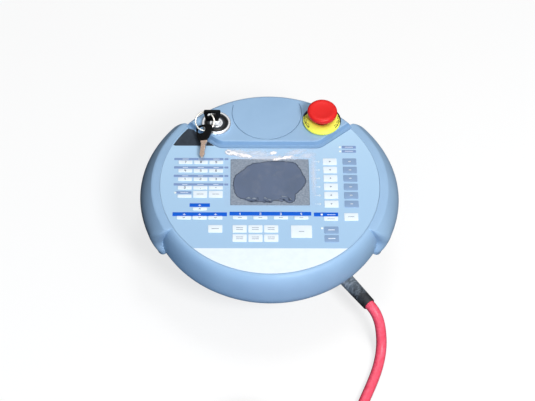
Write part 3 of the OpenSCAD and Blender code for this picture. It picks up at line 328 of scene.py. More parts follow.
MATS = {
    "shell": moulded("abs_pc_blue_moulded", "#9bbcdc", "#95b6d7", 0.46),
    # The rim, with painted shade on the outer sides of its grips
    "painted_shade_rim": painted_shade_rim_shell(),
    # The console's bevelled wall: coarser grain, and a darker blue that is painted shade
    "wall": moulded("abs_pc_blue_moulded_coarse_painted_shade", "#81a4c8", "#7b9ec3", 0.55, 0.7, 0.02),
    # Joint strip and groove line: a dark blue of painted shade and dirt
    "joint": moulded("abs_pc_blue_moulded_joint_painted_shade_and_dirt", "#6788ad", "#6080a5", 0.6),
    "sheet": face_sheet(),
    "white_print": printed("ink_white_screen_printed", "#eaf4fc"),
    "band_print": printed("ink_pale_band_screen_printed", "#e8f2fc"),
    "grey_print": printed("ink_grey_blue_screen_printed", "#88a3c6"),
    "strip_print": printed("ink_label_strip_screen_printed", "#8099c6"),
    "blue_print": printed("ink_signal_blue_screen_printed", "#005cd0", 0.55, 0.0),
    "dark_print": printed("ink_slate_screen_printed", "#2c333d", 0.6),
    "mark_print": printed("ink_legend_grey_screen_printed", "#5f6f86"),
    "black_print": printed("ink_black_pad_printed", "#1c1d1c"),
    # Under the lifted film the trapped air looks grey and finely mottled
    "window": window_pane("polycarbonate_window_over_lcd", "#929eac", 0.5, 2.0, 5.0,
                          [(0.32, "#7b8897"), (0.68, "#98a4b2")]),
    # Where the film has wetted out on it, the window is smooth, even and darker
    "wetted": window_pane("polycarbonate_window_wetted", "#66748a", 0.4, 30, 1.0,
                          [(0.35, "#5c6a80"), (0.65, "#637189")]),
    "film": clear_film(),
    "led": plain("epoxy_led_lens_moulded", "#f4f9f2", 0.25)[0],
    "red": moulded("polyamide_red_moulded", "#e92220", "#e31e1c", 0.4, 0.5, 0.006, 0.04),
    "yellow": moulded("polyamide_yellow_moulded", "#fdfd66", "#faf85c", 0.4, 0.5, 0.006, 0.04),
    "black": moulded("abs_black_moulded", "#08080a", "#050506", 0.34, 0.4, 0.006, 0.06),
    "key_black": moulded("abs_black_moulded_worn", "#030304", "#020203", 0.42, 0.4, 0.006, 0.06, 0.14),
    "soot": moulded("pa_glass_filled_charcoal_moulded", "#34383f", "#2c3036", 0.5, 0.5, 0.012),
    "chrome": metal("zinc_chrome_plated_satin", "#fafcff", 0.26),
    "steel": metal("steel_zinc_plated", "#c3c8cc", 0.3),
    "alu": metal("aluminium_bead_blasted", "#b4b9be", 0.42, 0.25),
    # Dark line at the wetted patch's edge and round bubbles, also the painted shadows beside the bubbles
    "edge": plain("polycarbonate_window_wet_edge_and_painted_shadow", "#4f5b70", 0.4, sheen=0.15)[0],
    "nickel": metal("steel_wire_nickel_plated", "#fbf6ea", 0.3),
    "blade": metal("nickel_silver_milled", "#d3b8a6", 0.26),
    "brass": metal("brass_milled", "#b8955c", 0.32),
    "contact": metal("brass_gold_plated", "#d9b35a", 0.25),
    "boot": boot_rubber(),
    "rubber": rubber("epdm_rubber_moulded", "#2a2c30", "#1d1f22"),
    "jacket": cable_jacket(),
    "board": moulded("fr4_laminate_green_resist", "#2c6b47", "#255c3c", 0.4, 0.6, 0.006),
    "spacer": moulded("polyester_spacer_white", "#dcdcd4", "#d2d2ca", 0.5, 0.6, 0.006),
    "ribbon": moulded("pvc_ribbon_grey", "#a9adb1", "#9da1a5", 0.5, 0.6, 0.006),
}


# ---- meshes ----
def smooth_step(t):
    """0 below 0, 1 above 1 and a soft rise between."""
    t = max(0.0, min(1.0, t))
    return t * t * (3 - 2 * t)


def polar(centre, r, angle):
    """The flat point at this radius and angle in degrees from a centre."""
    a = radians(angle)
    return centre[0] + r * cos(a), centre[1] + r * sin(a)


def bearing(p):
    """The angle of a flat point about the origin, in degrees."""
    return degrees(atan2(p[1], p[0]))


def piece(name, verts, faces, mat, body="housing", smooth=True, replaces=(), sharp=None):
    """A mesh in millimetres as an object of the scene that rides on a body."""
    mesh = bpy.data.meshes.new(name)
    mesh.from_pydata([Vector(v) * MM for v in verts], [], faces)
    mesh.validate()
    mesh.polygons.foreach_set("use_smooth", [smooth] * len(mesh.polygons))
    if sharp is not None:
        mesh.set_sharp_from_angle(angle=radians(sharp))
    mesh.materials.append(MATS[mat])
    obj = put(name, mesh)
    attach(obj, body)
    if replaces:
        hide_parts(*replaces)
    return obj


def grid_faces(rows, columns, closed=True, start=0):
    """Quads between rows of equally many points."""
    faces = []
    last = columns if closed else columns - 1
    for i in range(rows - 1):
        for j in range(last):
            a = start + i * columns + j
            b = start + i * columns + (j + 1) % columns
            faces.append((a, b, b + columns, a + columns))
    return faces


def arc(cx, cy, r, a0, a1, n):
    """Points on an arc, with angles in degrees."""
    return [polar((cx, cy), r, a0 + (a1 - a0) * i / n) for i in range(n + 1)]


def rounded_box(w, h, r):
    """Outline of a rectangle with round corners about the origin."""
    outline = []
    for sx, sy, a in ((1, 1, 0), (-1, 1, 90), (-1, -1, 180), (1, -1, 270)):
        outline += arc(sx * (w / 2 - r), sy * (h / 2 - r), r, a, a + 90, 5)
    return outline


def bend(start, corner, end, n):
    """Points on the round way from start to end that a corner pulls out."""
    shares = [i / n for i in range(n + 1)]
    return [tuple((1 - t) ** 2 * start + 2 * t * (1 - t) * corner + t ** 2 * end) for t in shares]


def filleted(points, radius, n=4):
    """An open profile with its inner corners rounded."""
    out = [points[0]]
    for before, here, after in zip(points, points[1:], points[2:]):
        p, a, b = Vector(here), Vector(before), Vector(after)
        reach = min(radius, (a - p).length * 0.45, (b - p).length * 0.45)
        out += bend(p + (a - p).normalized() * reach, p, p + (b - p).normalized() * reach, n)
    return out + [points[-1]]


def curve(points, step, least=1):
    """Points about a step apart on a smooth curve through these; the first and the last only steer it."""
    points = [Vector(p) for p in points]
    out = []
    for p0, p1, p2, p3 in zip(points, points[1:], points[2:], points[3:]):
        n = max(int((p2 - p1).length / step), least)
        for t in (i / n for i in range(n)):
            out.append(0.5 * ((2 * p1) + (p2 - p0) * t + (2 * p0 - 5 * p1 + 4 * p2 - p3) * t * t
                              + (3 * p1 - p0 - 3 * p2 + p3) * t ** 3))
    return out


def fill(outline, holes=(), lines=()):
    """Points and triangles of a flat area, with its holes and with lines that the triangles follow."""
    points = [Vector(p) for p in outline]
    loops = [list(range(len(points)))]
    for hole in holes:
        start = len(points)
        points += [Vector(p) for p in hole]
        loops.append(list(range(len(points) - 1, start - 1, -1)))
    edges = []
    for line in lines:
        start = len(points)
        points += [Vector(p) for p in line]
        edges += [(start + i, start + i + 1) for i in range(len(line) - 1)]
    found, _, triangles, *_ = geometry.delaunay_2d_cdt(points, edges, loops, 2, 1e-5)
    return found, [tuple(t) for t in triangles]


def lathe(name, profile, at, mat, body="housing", replaces=()):
    """A profile of (radius, height above the console) turned about an upright axis."""
    count = 120
    verts = [polar(at, r, 360 * j / count) + (CONSOLE_Z + up,) for r, up in profile for j in range(count)]
    return piece(name, verts, grid_faces(len(profile), count), mat, body, replaces=replaces, sharp=40)


def pads(name, places, height, mat, corner=0.8, edge=0.35):
    """Pads raised from the face sheet, with rounded upper edges; each place is (x, y, width, depth)."""
    verts, faces = [], []
    rows = [(0.0, -0.3), (0.0, height - edge)]
    rows += [(edge * (1 - cos(a)), height - edge + edge * sin(a))
             for a in (radians(30), radians(60), radians(90))]
    for x, y, w, h in places:
        start = len(verts)
        for inset, up in rows:
            outline = rounded_box(w - 2 * inset, h - 2 * inset, max(corner - inset, 0.15))
            verts += [(x + px, y + py, FACE_Z + up) for px, py in outline]
        count = (len(verts) - start) // len(rows)
        faces += grid_faces(len(rows), count, start=start)
        faces.append(tuple(range(len(verts) - count, len(verts))))
    return piece(name, verts, faces, mat, sharp=50)


def strokes(name, lines, z, width, mat):
    """Thin printed lines; each is a list of points, and each stretch has square ends."""
    verts, faces = [], []
    thickness = 0.06
    for line in lines:
        for a, b in zip(line, line[1:]):
            p, q = Vector(a), Vector(b)
            along = (q - p).normalized() * width / 2
            side = Vector((-along.y, along.x))
            corners = [p - along - side, q + along - side, q + along + side, p - along + side]
            start = len(verts)
            verts += [(c.x, c.y, level) for level in (z, z - thickness) for c in corners]
            faces.append(tuple(range(start, start + 4)))
            for i, j in ((0, 1), (1, 2), (2, 3), (3, 0)):
                faces.append((start + i, start + 4 + i, start + 4 + j, start + j))
    return piece(name, verts, faces, mat, smooth=False)


# ---- front shell: rim with its two side grips ----
WIDEST_Z, PARTING_Z = 76.0, 70.0  # heights of the widest place and of the seam with the rear shell
UNDER_R, UNDER_H = 103.0, 20.0  # the rim's lower curve falls towards this radius over this height
GRIP_TOP_FOOT, GRIP_LOW_FOOT = 42.6, 28.7  # degrees from the x axis to a grip's two ends
CREST_Z, SHELF = FACE_Z - 1.0, 8.3  # the crest's height, and how far out from the face it lies
GRIP_R, GRIP_MID_Z = 129.5, 86.0  # a grip's greatest reach and the height of that
TUCK, TUCK_H = 4.8, 15.5  # a grip's side comes in so far, so far below that


def folded(angle):
    """An angle round the rim as that on the right grip, negative towards the operator."""
    angle = (angle + 180) % 360 - 180
    return copysign(180 - abs(angle), angle) if abs(angle) > 90 else angle


def rim_reach(z):
    """Radius of the plain rim at a height."""
    if z >= WIDEST_Z:
        t = acos(min((z - WIDEST_Z) / (FACE_Z - WIDEST_Z), 1.0))
        return FACE_R + (RIM_R - FACE_R) * sin(t)
    t = asin(min((WIDEST_Z - z) / UNDER_H, 1.0))
    return UNDER_R + (RIM_R - UNDER_R) * cos(t)


def grip_reach(z):
    """Radius of the side grip at a height: a nearly level shelf, a crest and a full side."""
    if z > CREST_Z:
        return FACE_R + SHELF * (FACE_Z - z) / (FACE_Z - CREST_Z)
    if z > GRIP_MID_Z:
        return GRIP_R - (GRIP_R - FACE_R - SHELF) * ((z - GRIP_MID_Z) / (CREST_Z - GRIP_MID_Z)) ** 1.55
    return GRIP_R - TUCK * ((GRIP_MID_Z - z) / TUCK_H) ** 1.9


def low_foot(z):
    """Degrees from the x axis to a grip's end nearer the operator, at a height."""
    return GRIP_LOW_FOOT + 1.5 * smooth_step((z - 84) / 19) + 2.3 * smooth_step((84 - z) / 13)


def grip_share(angle, z):
    """1 along a side grip; its ends fall to 0, and the lower end has a raised lip."""
    angle = folded(angle)
    near_crest = smooth_step((z - 90) / 11)
    if angle > 0:
        reach = 3.6 - 1.0 * near_crest
        past = angle - (GRIP_TOP_FOOT - reach)
        return max(1 - (max(past, 0.0) / reach) ** 2.4, 0.0) ** 0.38
    reach = 3.4 - 1.5 * near_crest
    past = -angle - (low_foot(z) - reach)
    lip = 0.055 * exp(-((past + 0.8) / 1.4) ** 2) * smooth_step((CREST_Z + 2 - z) / 12)
    lip *= smooth_step((z - 76) / 14)
    return (max(1 - (max(past, 0.0) / reach) ** 2.2, 0.0) ** 0.45) * (1 + lip)


def rim_angles():
    """Angles round the rim, closer together at the ends of the grips."""
    angles = []
    a = 0.0
    while a < 360:
        angles.append(a)
        near = min(abs(folded(a) - GRIP_TOP_FOOT + 1.5), abs(folded(a) + GRIP_LOW_FOOT + 0.1))
        a += 0.13 if near < 3.0 else 0.35 if near < 7 else 1.0
    return angles


def make_rim():
    """The rim and its grips in rings from the recess over the edge and down to the seam."""
    angles = rim_angles()
    drop = FACE_Z - WIDEST_Z
    heights = [WIDEST_Z + drop * cos(radians(90 * i / 34)) for i in range(1, 35)]
    heights += [WIDEST_Z - (WIDEST_Z - PARTING_Z) * i / 5 for i in range(1, 6)]
    recess = ((RECESS_R, -3.2), (RECESS_R, -0.3), (RECESS_R + 0.12, -0.06), (FACE_R, 0))
    rows = [[(r, FACE_Z + up)] * len(angles) for r, up in recess]
    for z in heights:
        plain_r = rim_reach(z)
        extra = max(grip_reach(z) - plain_r, 0)
        rows.append([(plain_r + extra * grip_share(a, z), z) for a in angles])
    shares = [grip_share(a, PARTING_Z) for a in angles]
    rows.append([(rim_reach(PARTING_Z) - 0.4 + 5.5 * s, PARTING_Z - 0.05 - 2.9 * s) for s in shares])
    rows.append([(112.2, PARTING_Z + 0.3)] * len(angles))
    verts = [polar((0, 0), r, a) + (z,) for row in rows for a, (r, z) in zip(angles, row)]
    piece("shell_front_rim", verts, grid_faces(len(rows), len(angles)), "painted_shade_rim",
          replaces=["front_housing"], sharp=38)


# ---- front shell: raised console ----
# The console's straight front: its place, half its length and how far its ends turn back
CONSOLE_Y, CONSOLE_HALF, CONSOLE_SIDE = 45.0, 51.0, radians(38.9)
WALL_LEVELS = 12  # so many of the console's levels make its bevelled wall; the others its rounded edge
HOLE_R = 11.15  # under the collar and the bezel


def console_front(inset, reach):
    """The console's front outline set in by a distance, from right to left, out to a radius."""
    n_side, n_mid, corner = 24, 40, 5.0
    hw = CONSOLE_HALF - inset * tan(CONSOLE_SIDE / 2)
    y = CONSOLE_Y + inset
    c, s = cos(CONSOLE_SIDE), sin(CONSOLE_SIDE)
    half_b = hw * c + y * s
    far = -half_b + sqrt(half_b ** 2 - (hw ** 2 + y ** 2 - reach ** 2))
    steps = [far + (corner - far) * i / n_side for i in range(n_side)]
    right = [(hw + c * t, y + s * t) for t in steps]
    flat_end = hw - corner
    right += bend(Vector((hw + c * corner, y + s * corner)), Vector((hw, y)), Vector((flat_end, y)), 6)
    mid = [(flat_end - 2 * flat_end * i / n_mid, y) for i in range(1, n_mid)]
    return right + mid + [(-x, v) for x, v in reversed(right)]


def console_loop(inset, reach):
    """The closed outline of the console at one level."""
    front = console_front(inset, reach)
    return front + arc(0, 0, reach, bearing(front[-1]), bearing(front[0]), 90)[1:-1]


def console_levels():
    """(inset at the front, radius at the back, height above the face) from the foot to the flat top."""
    lean = tan(radians(22))
    edge_r, outer = 3.5, FACE_R + 1.9
    foot = ((0.1, -3), (0.1, -0.35), (0.22, -0.1), (0.5, 0), (2.5, 0), (2.85, 0.1), (3.1, 0.4))
    levels = [(inset, outer, up) for inset, up in foot]
    wall = [(3 + up * lean, up) for up in (1.0, 1.8, 2.6, 3.2)]
    for inset, up in wall + [(4.55, 3.7), (4.8, 4.1), (5.15, 4.35), (5.6, 4.47), (6.3, 4.5)]:
        levels.append((inset, outer - edge_r + sqrt(edge_r ** 2 - min(up - 1.0, edge_r) ** 2), up))
    return levels + [(7.3, outer - edge_r - 1.2, 4.5)]


FIELD = (-2.5, 88.0, 35.6)  # centre and radius of the groove round the console's blank field


def make_console():
    """The console: bevelled wall in painted shade, rounded edge, joint at its foot dark with painted shade
    and dirt, and flat top with its groove.
    """
    levels = console_levels()
    loops = [console_loop(*level[:2]) for level in levels]
    count = len(loops[0])
    verts = [(x, y, FACE_Z + level[2]) for loop, level in zip(loops, levels) for x, y in loop]
    end = len(levels) - 1
    # The wall takes a darker blue of painted shade
    for name, first, last, mat in (("wall", 0, WALL_LEVELS, "wall"), ("edge", WALL_LEVELS, end, "shell")):
        part = verts[first * count:(last + 1) * count]
        piece("shell_console_" + name, part, grid_faces(last + 1 - first, count), mat,
              replaces=["front_housing"], sharp=60)
    # A dark strip in the gap at the console's foot: painted shade and dirt
    near, far = console_front(-0.95, RECESS_R - 0.2), console_front(0.3, RECESS_R - 0.2)
    strip = [(x, y, FACE_Z - 0.35) for x, y in near + far]
    piece("shell_console_joint", strip, grid_faces(2, len(near), closed=False), "joint", smooth=False)
    reach, z = levels[-1][1], FACE_Z + levels[-1][2]
    x, y, r = FIELD
    rings = [arc(x, y, r + step, -210, 30, 200) for step in (-0.75, -0.45, -0.22, 0, 0.22, 0.45, 0.75)]
    holes = [arc(at[0], at[1], HOLE_R, 0, 360, 48)[:-1] for at in (ESTOP, LOCK)]
    lines = [[p for p in ring if hypot(*p) < reach - 0.6] for ring in rings]
    found, triangles = fill(loops[-1], holes, lines)
    top = []
    for p in found:
        away = abs((p - Vector((x, y))).length - r)
        dip = 0.4 * max(1 - (away / 0.45) ** 2, 0.0) if away < 0.4 and p.length < reach - 0.5 else 0.0
        top.append((p.x, p.y, z - dip))
    piece("shell_console_top", top, triangles, "shell", replaces=["front_housing"], sharp=60)
    # A dark line in the groove: painted shade and dirt
    groove = [p for p in rings[3] if hypot(*p) < reach - 1.5]
    strokes("shell_console_groove", [groove], z - 0.12, 0.36, "joint")


# ---- keypad ----
KEY_W, KEY_H = 13.9, 8.3
NUMBER_X, NUMBER_Y, PITCH_X, PITCH_Y = -84.3, 25.8, 15.37, 10.74  # number keys, left of the window
PLUS_X, MINUS_X, MOVE_Y, MOVE_PITCH = 60.4, 80.3, 27.0, 10.63  # keys that move the robot, right of it
MENU_X, MENU_Y, MENU_PITCH = -29.6, -43.1, 19.97  # one row below the window
RUN_X, RUN_Y, RUN_PITCH_X, RUN_PITCH_Y = -29.9, -56.5, 15.3, 11.1  # two rows nearest the operator
SIDE_X, LAST_X = 59.3, NUMBER_X + 2 * PITCH_X  # single keys at the right and at the lower left
STRIP_Y = 30.0  # label strips above the number keys
WINDOW_Y = 1.25  # the window's middle lies so far from the face's


def sheet_outline():
    """The face sheet's outline: the round face, cut off along the console."""
    r = RECESS_R - 0.15
    front = console_front(-0.8, r)
    return front + arc(0, 0, r, bearing(front[-1]), bearing(front[0]) + 360, 260)[1:-1]


def flat(name, outline, z, thickness, mat, holes=(), replaces=()):
    """A thin flat sheet of this outline with its upper face at z."""
    found, faces = fill(outline, holes)
    verts = [(p.x, p.y, z) for p in found]
    for loop in [outline, *holes]:
        start = len(verts)
        verts += [(x, y, level) for level in (z, z - thickness) for x, y in loop]
        faces += grid_faces(2, len(loop), start=start)
    return piece(name, verts, faces, mat, smooth=False, replaces=replaces)


def block(x, y, dx, dy, columns, rows):
    """Places of a block of keys, column by column from its upper left one."""
    return [(x + c * dx, y - r * dy) for c in range(columns) for r in range(rows)]


def white_keys():
    """The white keys, each (x, y, width, depth)."""
    groups = [
        (4.4, block(NUMBER_X, NUMBER_Y, PITCH_X, PITCH_Y, 3, 4)), (3.7, [(NUMBER_X, -16.9)]),
        (8.4, block(NUMBER_X + PITCH_X, -14.5, PITCH_X, 0, 2, 1)), (3.6, [(NUMBER_X + PITCH_X, -32.6)]),
        (4.1, block(NUMBER_X, -43.3, PITCH_X, 0, 3, 1)), (3.8, block(MENU_X, MENU_Y, MENU_PITCH, 0, 4, 1)),
        (5.1, [(SIDE_X, -44)]), (9.1, [(79.2, -41.9)]), (9, [(LAST_X, -56.6)]),
        (8.8, block(RUN_X, RUN_Y, RUN_PITCH_X, RUN_PITCH_Y, 3, 2))]
    keys = [place + (KEY_W, depth) for depth, places in groups for place in places]
    keys += [(30.1, -59.7, 20.4, 14.8)]
    return keys + [place + (KEY_W, KEY_H) for place in block(PLUS_X, MOVE_Y, 0, MOVE_PITCH, 1, 6)]


def grey_keys():
    """The grey keys, each (x, y, width, depth)."""
    places = block(MINUS_X, MOVE_Y, 0, MOVE_PITCH, 1, 6) + [(SIDE_X, -57.8), (SIDE_X, -68.1)]
    return [place + (KEY_W, KEY_H) for place in places]


# Each sign as lines in a grid 2 wide and 4 high
DIGITS = {
    "0": [[(0, 0), (2, 0), (2, 4), (0, 4), (0, 0)]],
    "1": [[(0.4, 3.2), (1.2, 4), (1.2, 0)]],
    "2": [[(0, 4), (2, 4), (2, 2.2), (0, 1.8), (0, 0), (2, 0)]],
    "3": [[(0, 4), (2, 4), (2, 0), (0, 0)], [(0.5, 2), (2, 2)]],
    "4": [[(0, 4), (0, 1.8), (2, 1.8)], [(1.6, 4), (1.6, 0)]],
    "5": [[(2, 4), (0, 4), (0, 2.2), (2, 2.2), (2, 0), (0, 0)]],
    "6": [[(2, 4), (0, 4), (0, 0), (2, 0), (2, 2.2), (0, 2.2)]],
    "7": [[(0, 4), (2, 4), (0.8, 0)]],
    "8": [[(0, 0), (2, 0), (2, 4), (0, 4), (0, 0)], [(0, 2), (2, 2)]],
    "9": [[(0, 0), (2, 0), (2, 4), (0, 4), (0, 1.8), (2, 1.8)]],
    "+": [[(0, 2), (2, 2)], [(1, 1), (1, 3)]],
    "-": [[(0, 2), (2, 2)]],
    ".": [[(1, 0), (1, 0.3)]],
}


def glyph(sign, x, y, height):
    """A digit or sign of this height about a point, as lines."""
    s = height / 4
    return [[(x + (px - 1) * s, y + (py - 2) * s) for px, py in line] for line in DIGITS[sign]]


def dashes(x, y, *widths):
    """A row of short dashes about a point, standing for a line of small legend."""
    gap = 0.7
    left = x - (sum(widths) + gap * (len(widths) - 1)) / 2
    lines = []
    for w in widths:
        lines.append([(left, y), (left + w, y)])
        left += w + gap
    return lines


def chevron(x, y, tip):
    """An arrow head 1.8 wide, whose tip lies this much above its ends."""
    return [[(x - 0.9, y), (x, y + tip), (x + 0.9, y)]]


def make_keypad():
    """The printed face sheet with its keys, label strips, bars and lamp windows."""
    window = [(x, y + WINDOW_Y) for x, y in rounded_box(78.2, 58.1, 0.7)]
    flat("face_sheet", sheet_outline(), FACE_Z, 0.8, "sheet", [window], replaces=["keypad_overlay"])
    on_sheet, ink = FACE_Z + 0.04, 0.06
    band = arc(0, 0, RECESS_R - 0.35, 226.95, 313.05, 120)
    flat("print_band_pale", band, on_sheet, ink, "band_print")
    dark = [(-55.6, 47.3), (-72.6, 61.0), (-73.9, 64.9), (-77.2, 68.2), (-82.0, 69.8), (-84.2, 68.6)]
    dark += arc(0, 0, RECESS_R - 0.7, 141.4, 153.6, 24)[1:] + [(-95.2, 47.3)]
    flat("print_legend_slate", dark, on_sheet, ink, "dark_print")
    pads("keys_white", white_keys(), 0.5, "white_print")
    pads("keys_grey", grey_keys(), 0.5, "grey_print")
    strips = [(-71, STRIP_Y - r * PITCH_Y, 49.4, 2.9) for r in range(3)] + [(-70.7, -2.2, 49.4, 2.9)]
    strips += [(-43.3, STRIP_Y - r * PITCH_Y, 4, 2.5) for r in range(4)]
    strips += [(-85.7, -12.3, 16.2, 3.1), (80.4, 45.9, 14.2, 3.6), (80.3, 40.6, 14.2, 3.6)]
    pads("print_label_strips", strips, 0.06, "strip_print", 0.5, 0.03)
    bars = [(-69.1, -27.8, 20, 4.4), (-68.9, -38.9, 53.2, 4.7), (0.2, -38.1, 80, 4.6),
            (54.6, -38.9, 23.8, 4.8)]
    pads("print_blue_bars", bars, 0.07, "blue_print", 0.4, 0.03)
    leds = [(71.3, 46), (71.3, 40.4), (-93.5, -12.5), (50.4, -39), (50.3, -55.5)]
    pads("led_windows", [place + (2.2, 2.2) for place in leds], 0.12, "led", 1.05, 0.05)


def make_legends():
    """Legends on the keys: digits, signs, arrows and dashes."""
    dark, light, pale = [], [], []
    for row, signs in enumerate(("789", "456", "123", "0.-")):
        for column, sign in enumerate(signs):
            dark += glyph(sign, NUMBER_X + column * PITCH_X, NUMBER_Y - row * PITCH_Y, 2.3)
    dot = MINUS_X + 0.1
    for x, y in block(PLUS_X, MOVE_Y, 0, MOVE_PITCH, 1, 6):
        dark += glyph("+", x, y, 3.0)
        light += glyph("-", MINUS_X, y, 3.4) + [[(dot, y - 0.3), (dot, y + 0.3)]]
        pale += [[(46.2, y), (50.2, y)], [(48.9, y + 1.1), (50.2, y), (48.9, y - 1.1)]]
        pale += [[(44.6, y + 0.1), (44.9, y + 0.1)]]
    for x, y in block(NUMBER_X + PITCH_X, -14.5, PITCH_X, 0, 2, 1):
        dark += dashes(x, y, 2.4, 3.0)
    for x, y in block(NUMBER_X, -43.0, PITCH_X, 0, 3, 1):
        dark += chevron(x, y, -0.9)
    dark += chevron(NUMBER_X + PITCH_X, -33.0, 0.9)
    for c, (x, y) in enumerate(block(MENU_X, MENU_Y, MENU_PITCH, 0, 4, 1)):
        pale += glyph(str(c + 1), x, -38.4, 2.4)
        dark += dashes(x, y, 3.2)
    for x, y in block(RUN_X, RUN_Y, RUN_PITCH_X, RUN_PITCH_Y, 3, 2):
        dark += dashes(x, y + 1.1, 3.4, 2.2) + dashes(x, y - 1.1, 2.4, 3.0)
    dark += dashes(LAST_X, -56.6, 6.4) + dashes(30.1, -59.7, 5.0) + dashes(79.2, -41.9, 5.6)
    dark += dashes(SIDE_X, -44.6, 2.0, 4.0)
    light += dashes(SIDE_X, -57.8, 5.4) + dashes(SIDE_X, -68.1, 2.6, 2.6)
    for r in range(4):
        y = STRIP_Y - r * PITCH_Y - (0.1 if r == 3 else 0)
        for c in range(3):
            pale += dashes(NUMBER_X + c * PITCH_X, y, 5.6 - (r + c) % 2)
    pale += dashes(-84.6, -12.3, 4.4, 2.0) + dashes(80.4, 45.9, 2.0, 5.0) + dashes(80.3, 40.6, 3.4, 3.4)
    for x, y in ((-84.0, -39.2), (-69.0, -39.2), (-53.4, -39.2), (-69.1, -28.1)):
        pale += [[(x - 1.0, y), (x + 1.0, y)], [(x, y - 0.8), (x, y + 0.8)]]
    pale += dashes(59.8, -39.2, 1.4, 5.6)
    strokes("legends_dark", dark, FACE_Z + 0.54, 0.5, "mark_print")
    strokes("legends_on_grey_keys", light, FACE_Z + 0.54, 0.9, "white_print")
    strokes("legends_pale", pale, FACE_Z + 0.13, 0.55, "white_print")


# ---- display and its film ----
# Outline of the patch where the film lies wetted out on the window
WETTED = [(-36, 2), (-34, 9.1), (-26.4, 16), (-22.8, 20.2), (-17.2, 24.2), (-8.4, 25.9), (0.4, 27.2),
          (10.4, 27.2), (20.5, 26.6), (25.5, 24.8), (30.3, 17.2), (33.9, 8.5), (35.9, 2.2),
          (33.6, -4.1), (29.1, -10), (25, -15), (24.9, -20.8), (21.8, -24), (17.7, -24.4),
          (13.9, -22.2), (9.8, -23.1), (4.9, -21.3), (0.6, -24.2), (-5, -23.8), (-12.4, -23.1),
          (-19.2, -23.6), (-23.3, -20.7), (-29.6, -19.1), (-33.3, -15.2), (-35.2, -9), (-36.2, -2.7)]
# Bubbles left in that patch: place, length, width and turn in degrees
FLECKS = [(-21.4, -18.9, 5.0, 2.2, 4), (-15.6, -19.4, 4.8, 2.0, -6), (-4.6, -18.8, 3.4, 1.9, -30),
          (-0.6, -20.8, 4.4, 1.9, -28), (6.6, -21.4, 4.0, 1.5, 4), (13.8, -16.9, 6.6, 1.7, -8),
          (20.3, -19.8, 2.6, 1.5, -50)]
# Short dark lines of painted shadow that bubbles cast beside them
SHADES = [[(-22.8, -21.4), (-18.4, -22.7), (-14.0, -21.9), (-11.8, -22.6)],
          [(-6.2, -21.2), (-4.4, -22.6), (-0.6, -23.5), (2.0, -22.6)],
          [(10.0, -19.6), (13.6, -20.8), (16.6, -22.9)], [(-12.2, -18.4), (-11.6, -20.6)],
          [(18.0, -18.2), (18.8, -21.2), (21.6, -22.4)]]


def ragged(outline, amount, seed):
    """The outline with its points pushed in and out a little."""
    out = []
    for x, y in outline:
        push = noise.noise(Vector((x * 0.45, y * 0.45, seed))) + 0.5 * noise.noise(Vector((x, y, seed + 5)))
        grow = 1 + amount * push / hypot(x, y)
        out.append((x * grow, y * grow))
    return out


def fleck(x, y, length, width, turn):
    """The wavy outline of a bubble."""
    c, s = cos(radians(turn)), sin(radians(turn))
    ring = []
    for a in (2 * pi * i / 18 for i in range(18)):
        wave = 1 + 0.22 * sin(3 * a + x)
        u, v = length / 2 * wave * cos(a), width / 2 * wave * sin(a)
        ring.append((x + c * u - s * v, y + s * u + c * v))
    return ring


def make_display():
    """The display's pane and, on it, the wetted patch with the edges that catch a dark line."""
    outline = [(x, y + WINDOW_Y) for x, y in rounded_box(77.7, 57.6, 0.5)]
    flat("display_pane", outline, FACE_Z - 0.05, 1.1, "window", replaces=["display_window"])
    smooth = [(p.x, p.y) for p in curve(WETTED[-1:] + WETTED + WETTED[:2], 0.9, 2)]
    edge = ragged(smooth, 1.1, 2.0)
    bubbles = [fleck(*each) for each in FLECKS]
    flat("film_wetted_patch", edge, FACE_Z - 0.02, 0.03, "wetted", bubbles)
    strokes("film_wetted_edge", [edge + edge[:1]], FACE_Z - 0.01, 0.65, "edge")
    strokes("film_bubble_edges", [ring + ring[:1] for ring in bubbles], FACE_Z - 0.01, 0.3, "edge")
    # Painted shadows beside the bubbles
    strokes("film_bubble_shades", SHADES, FACE_Z, 1.3, "edge")
    make_film()


def make_film():
    """The protective film: flat over the window and lifted in folds towards the console."""
    x0, x1, y0, y1 = -45.0, 47.0, -30.0, 43.5
    columns, rows = 150, 120
    fold_y, above = 29.5, 0.62
    verts = []
    for j in range(rows + 1):
        for i in range(columns + 1):
            x, y = x0 + (x1 - x0) * i / columns, y0 + (y1 - y0) * j / rows
            lifted = max(min((y - fold_y) / 8, 1.0), 0.0) * max(min((y1 - y) / 1.5, 1.0), 0.0)
            fold = noise.noise(Vector((x * 0.035 + y * 0.05, y * 0.16 - x * 0.05, 3.1)))
            crease = abs(noise.noise(Vector((x * 0.06 + 2, y * 0.22 - x * 0.08, 9.7))))
            calm = noise.noise(Vector((x * 0.05, y * 0.05, 5.0)))
            verts.append((x, y, FACE_Z + above + 0.05 * calm + lifted * (0.55 * fold + 1.0 * crease)))
    piece("film_over_display", verts, grid_faces(rows + 1, columns + 1, closed=False), "film",
          replaces=["protective_film"])


# ---- emergency stop ----
def collar_slope(r):
    """Height of the collar's slope above the console at a radius."""
    return 5.5 - (r - 15.9) * 1.7 / 2.8


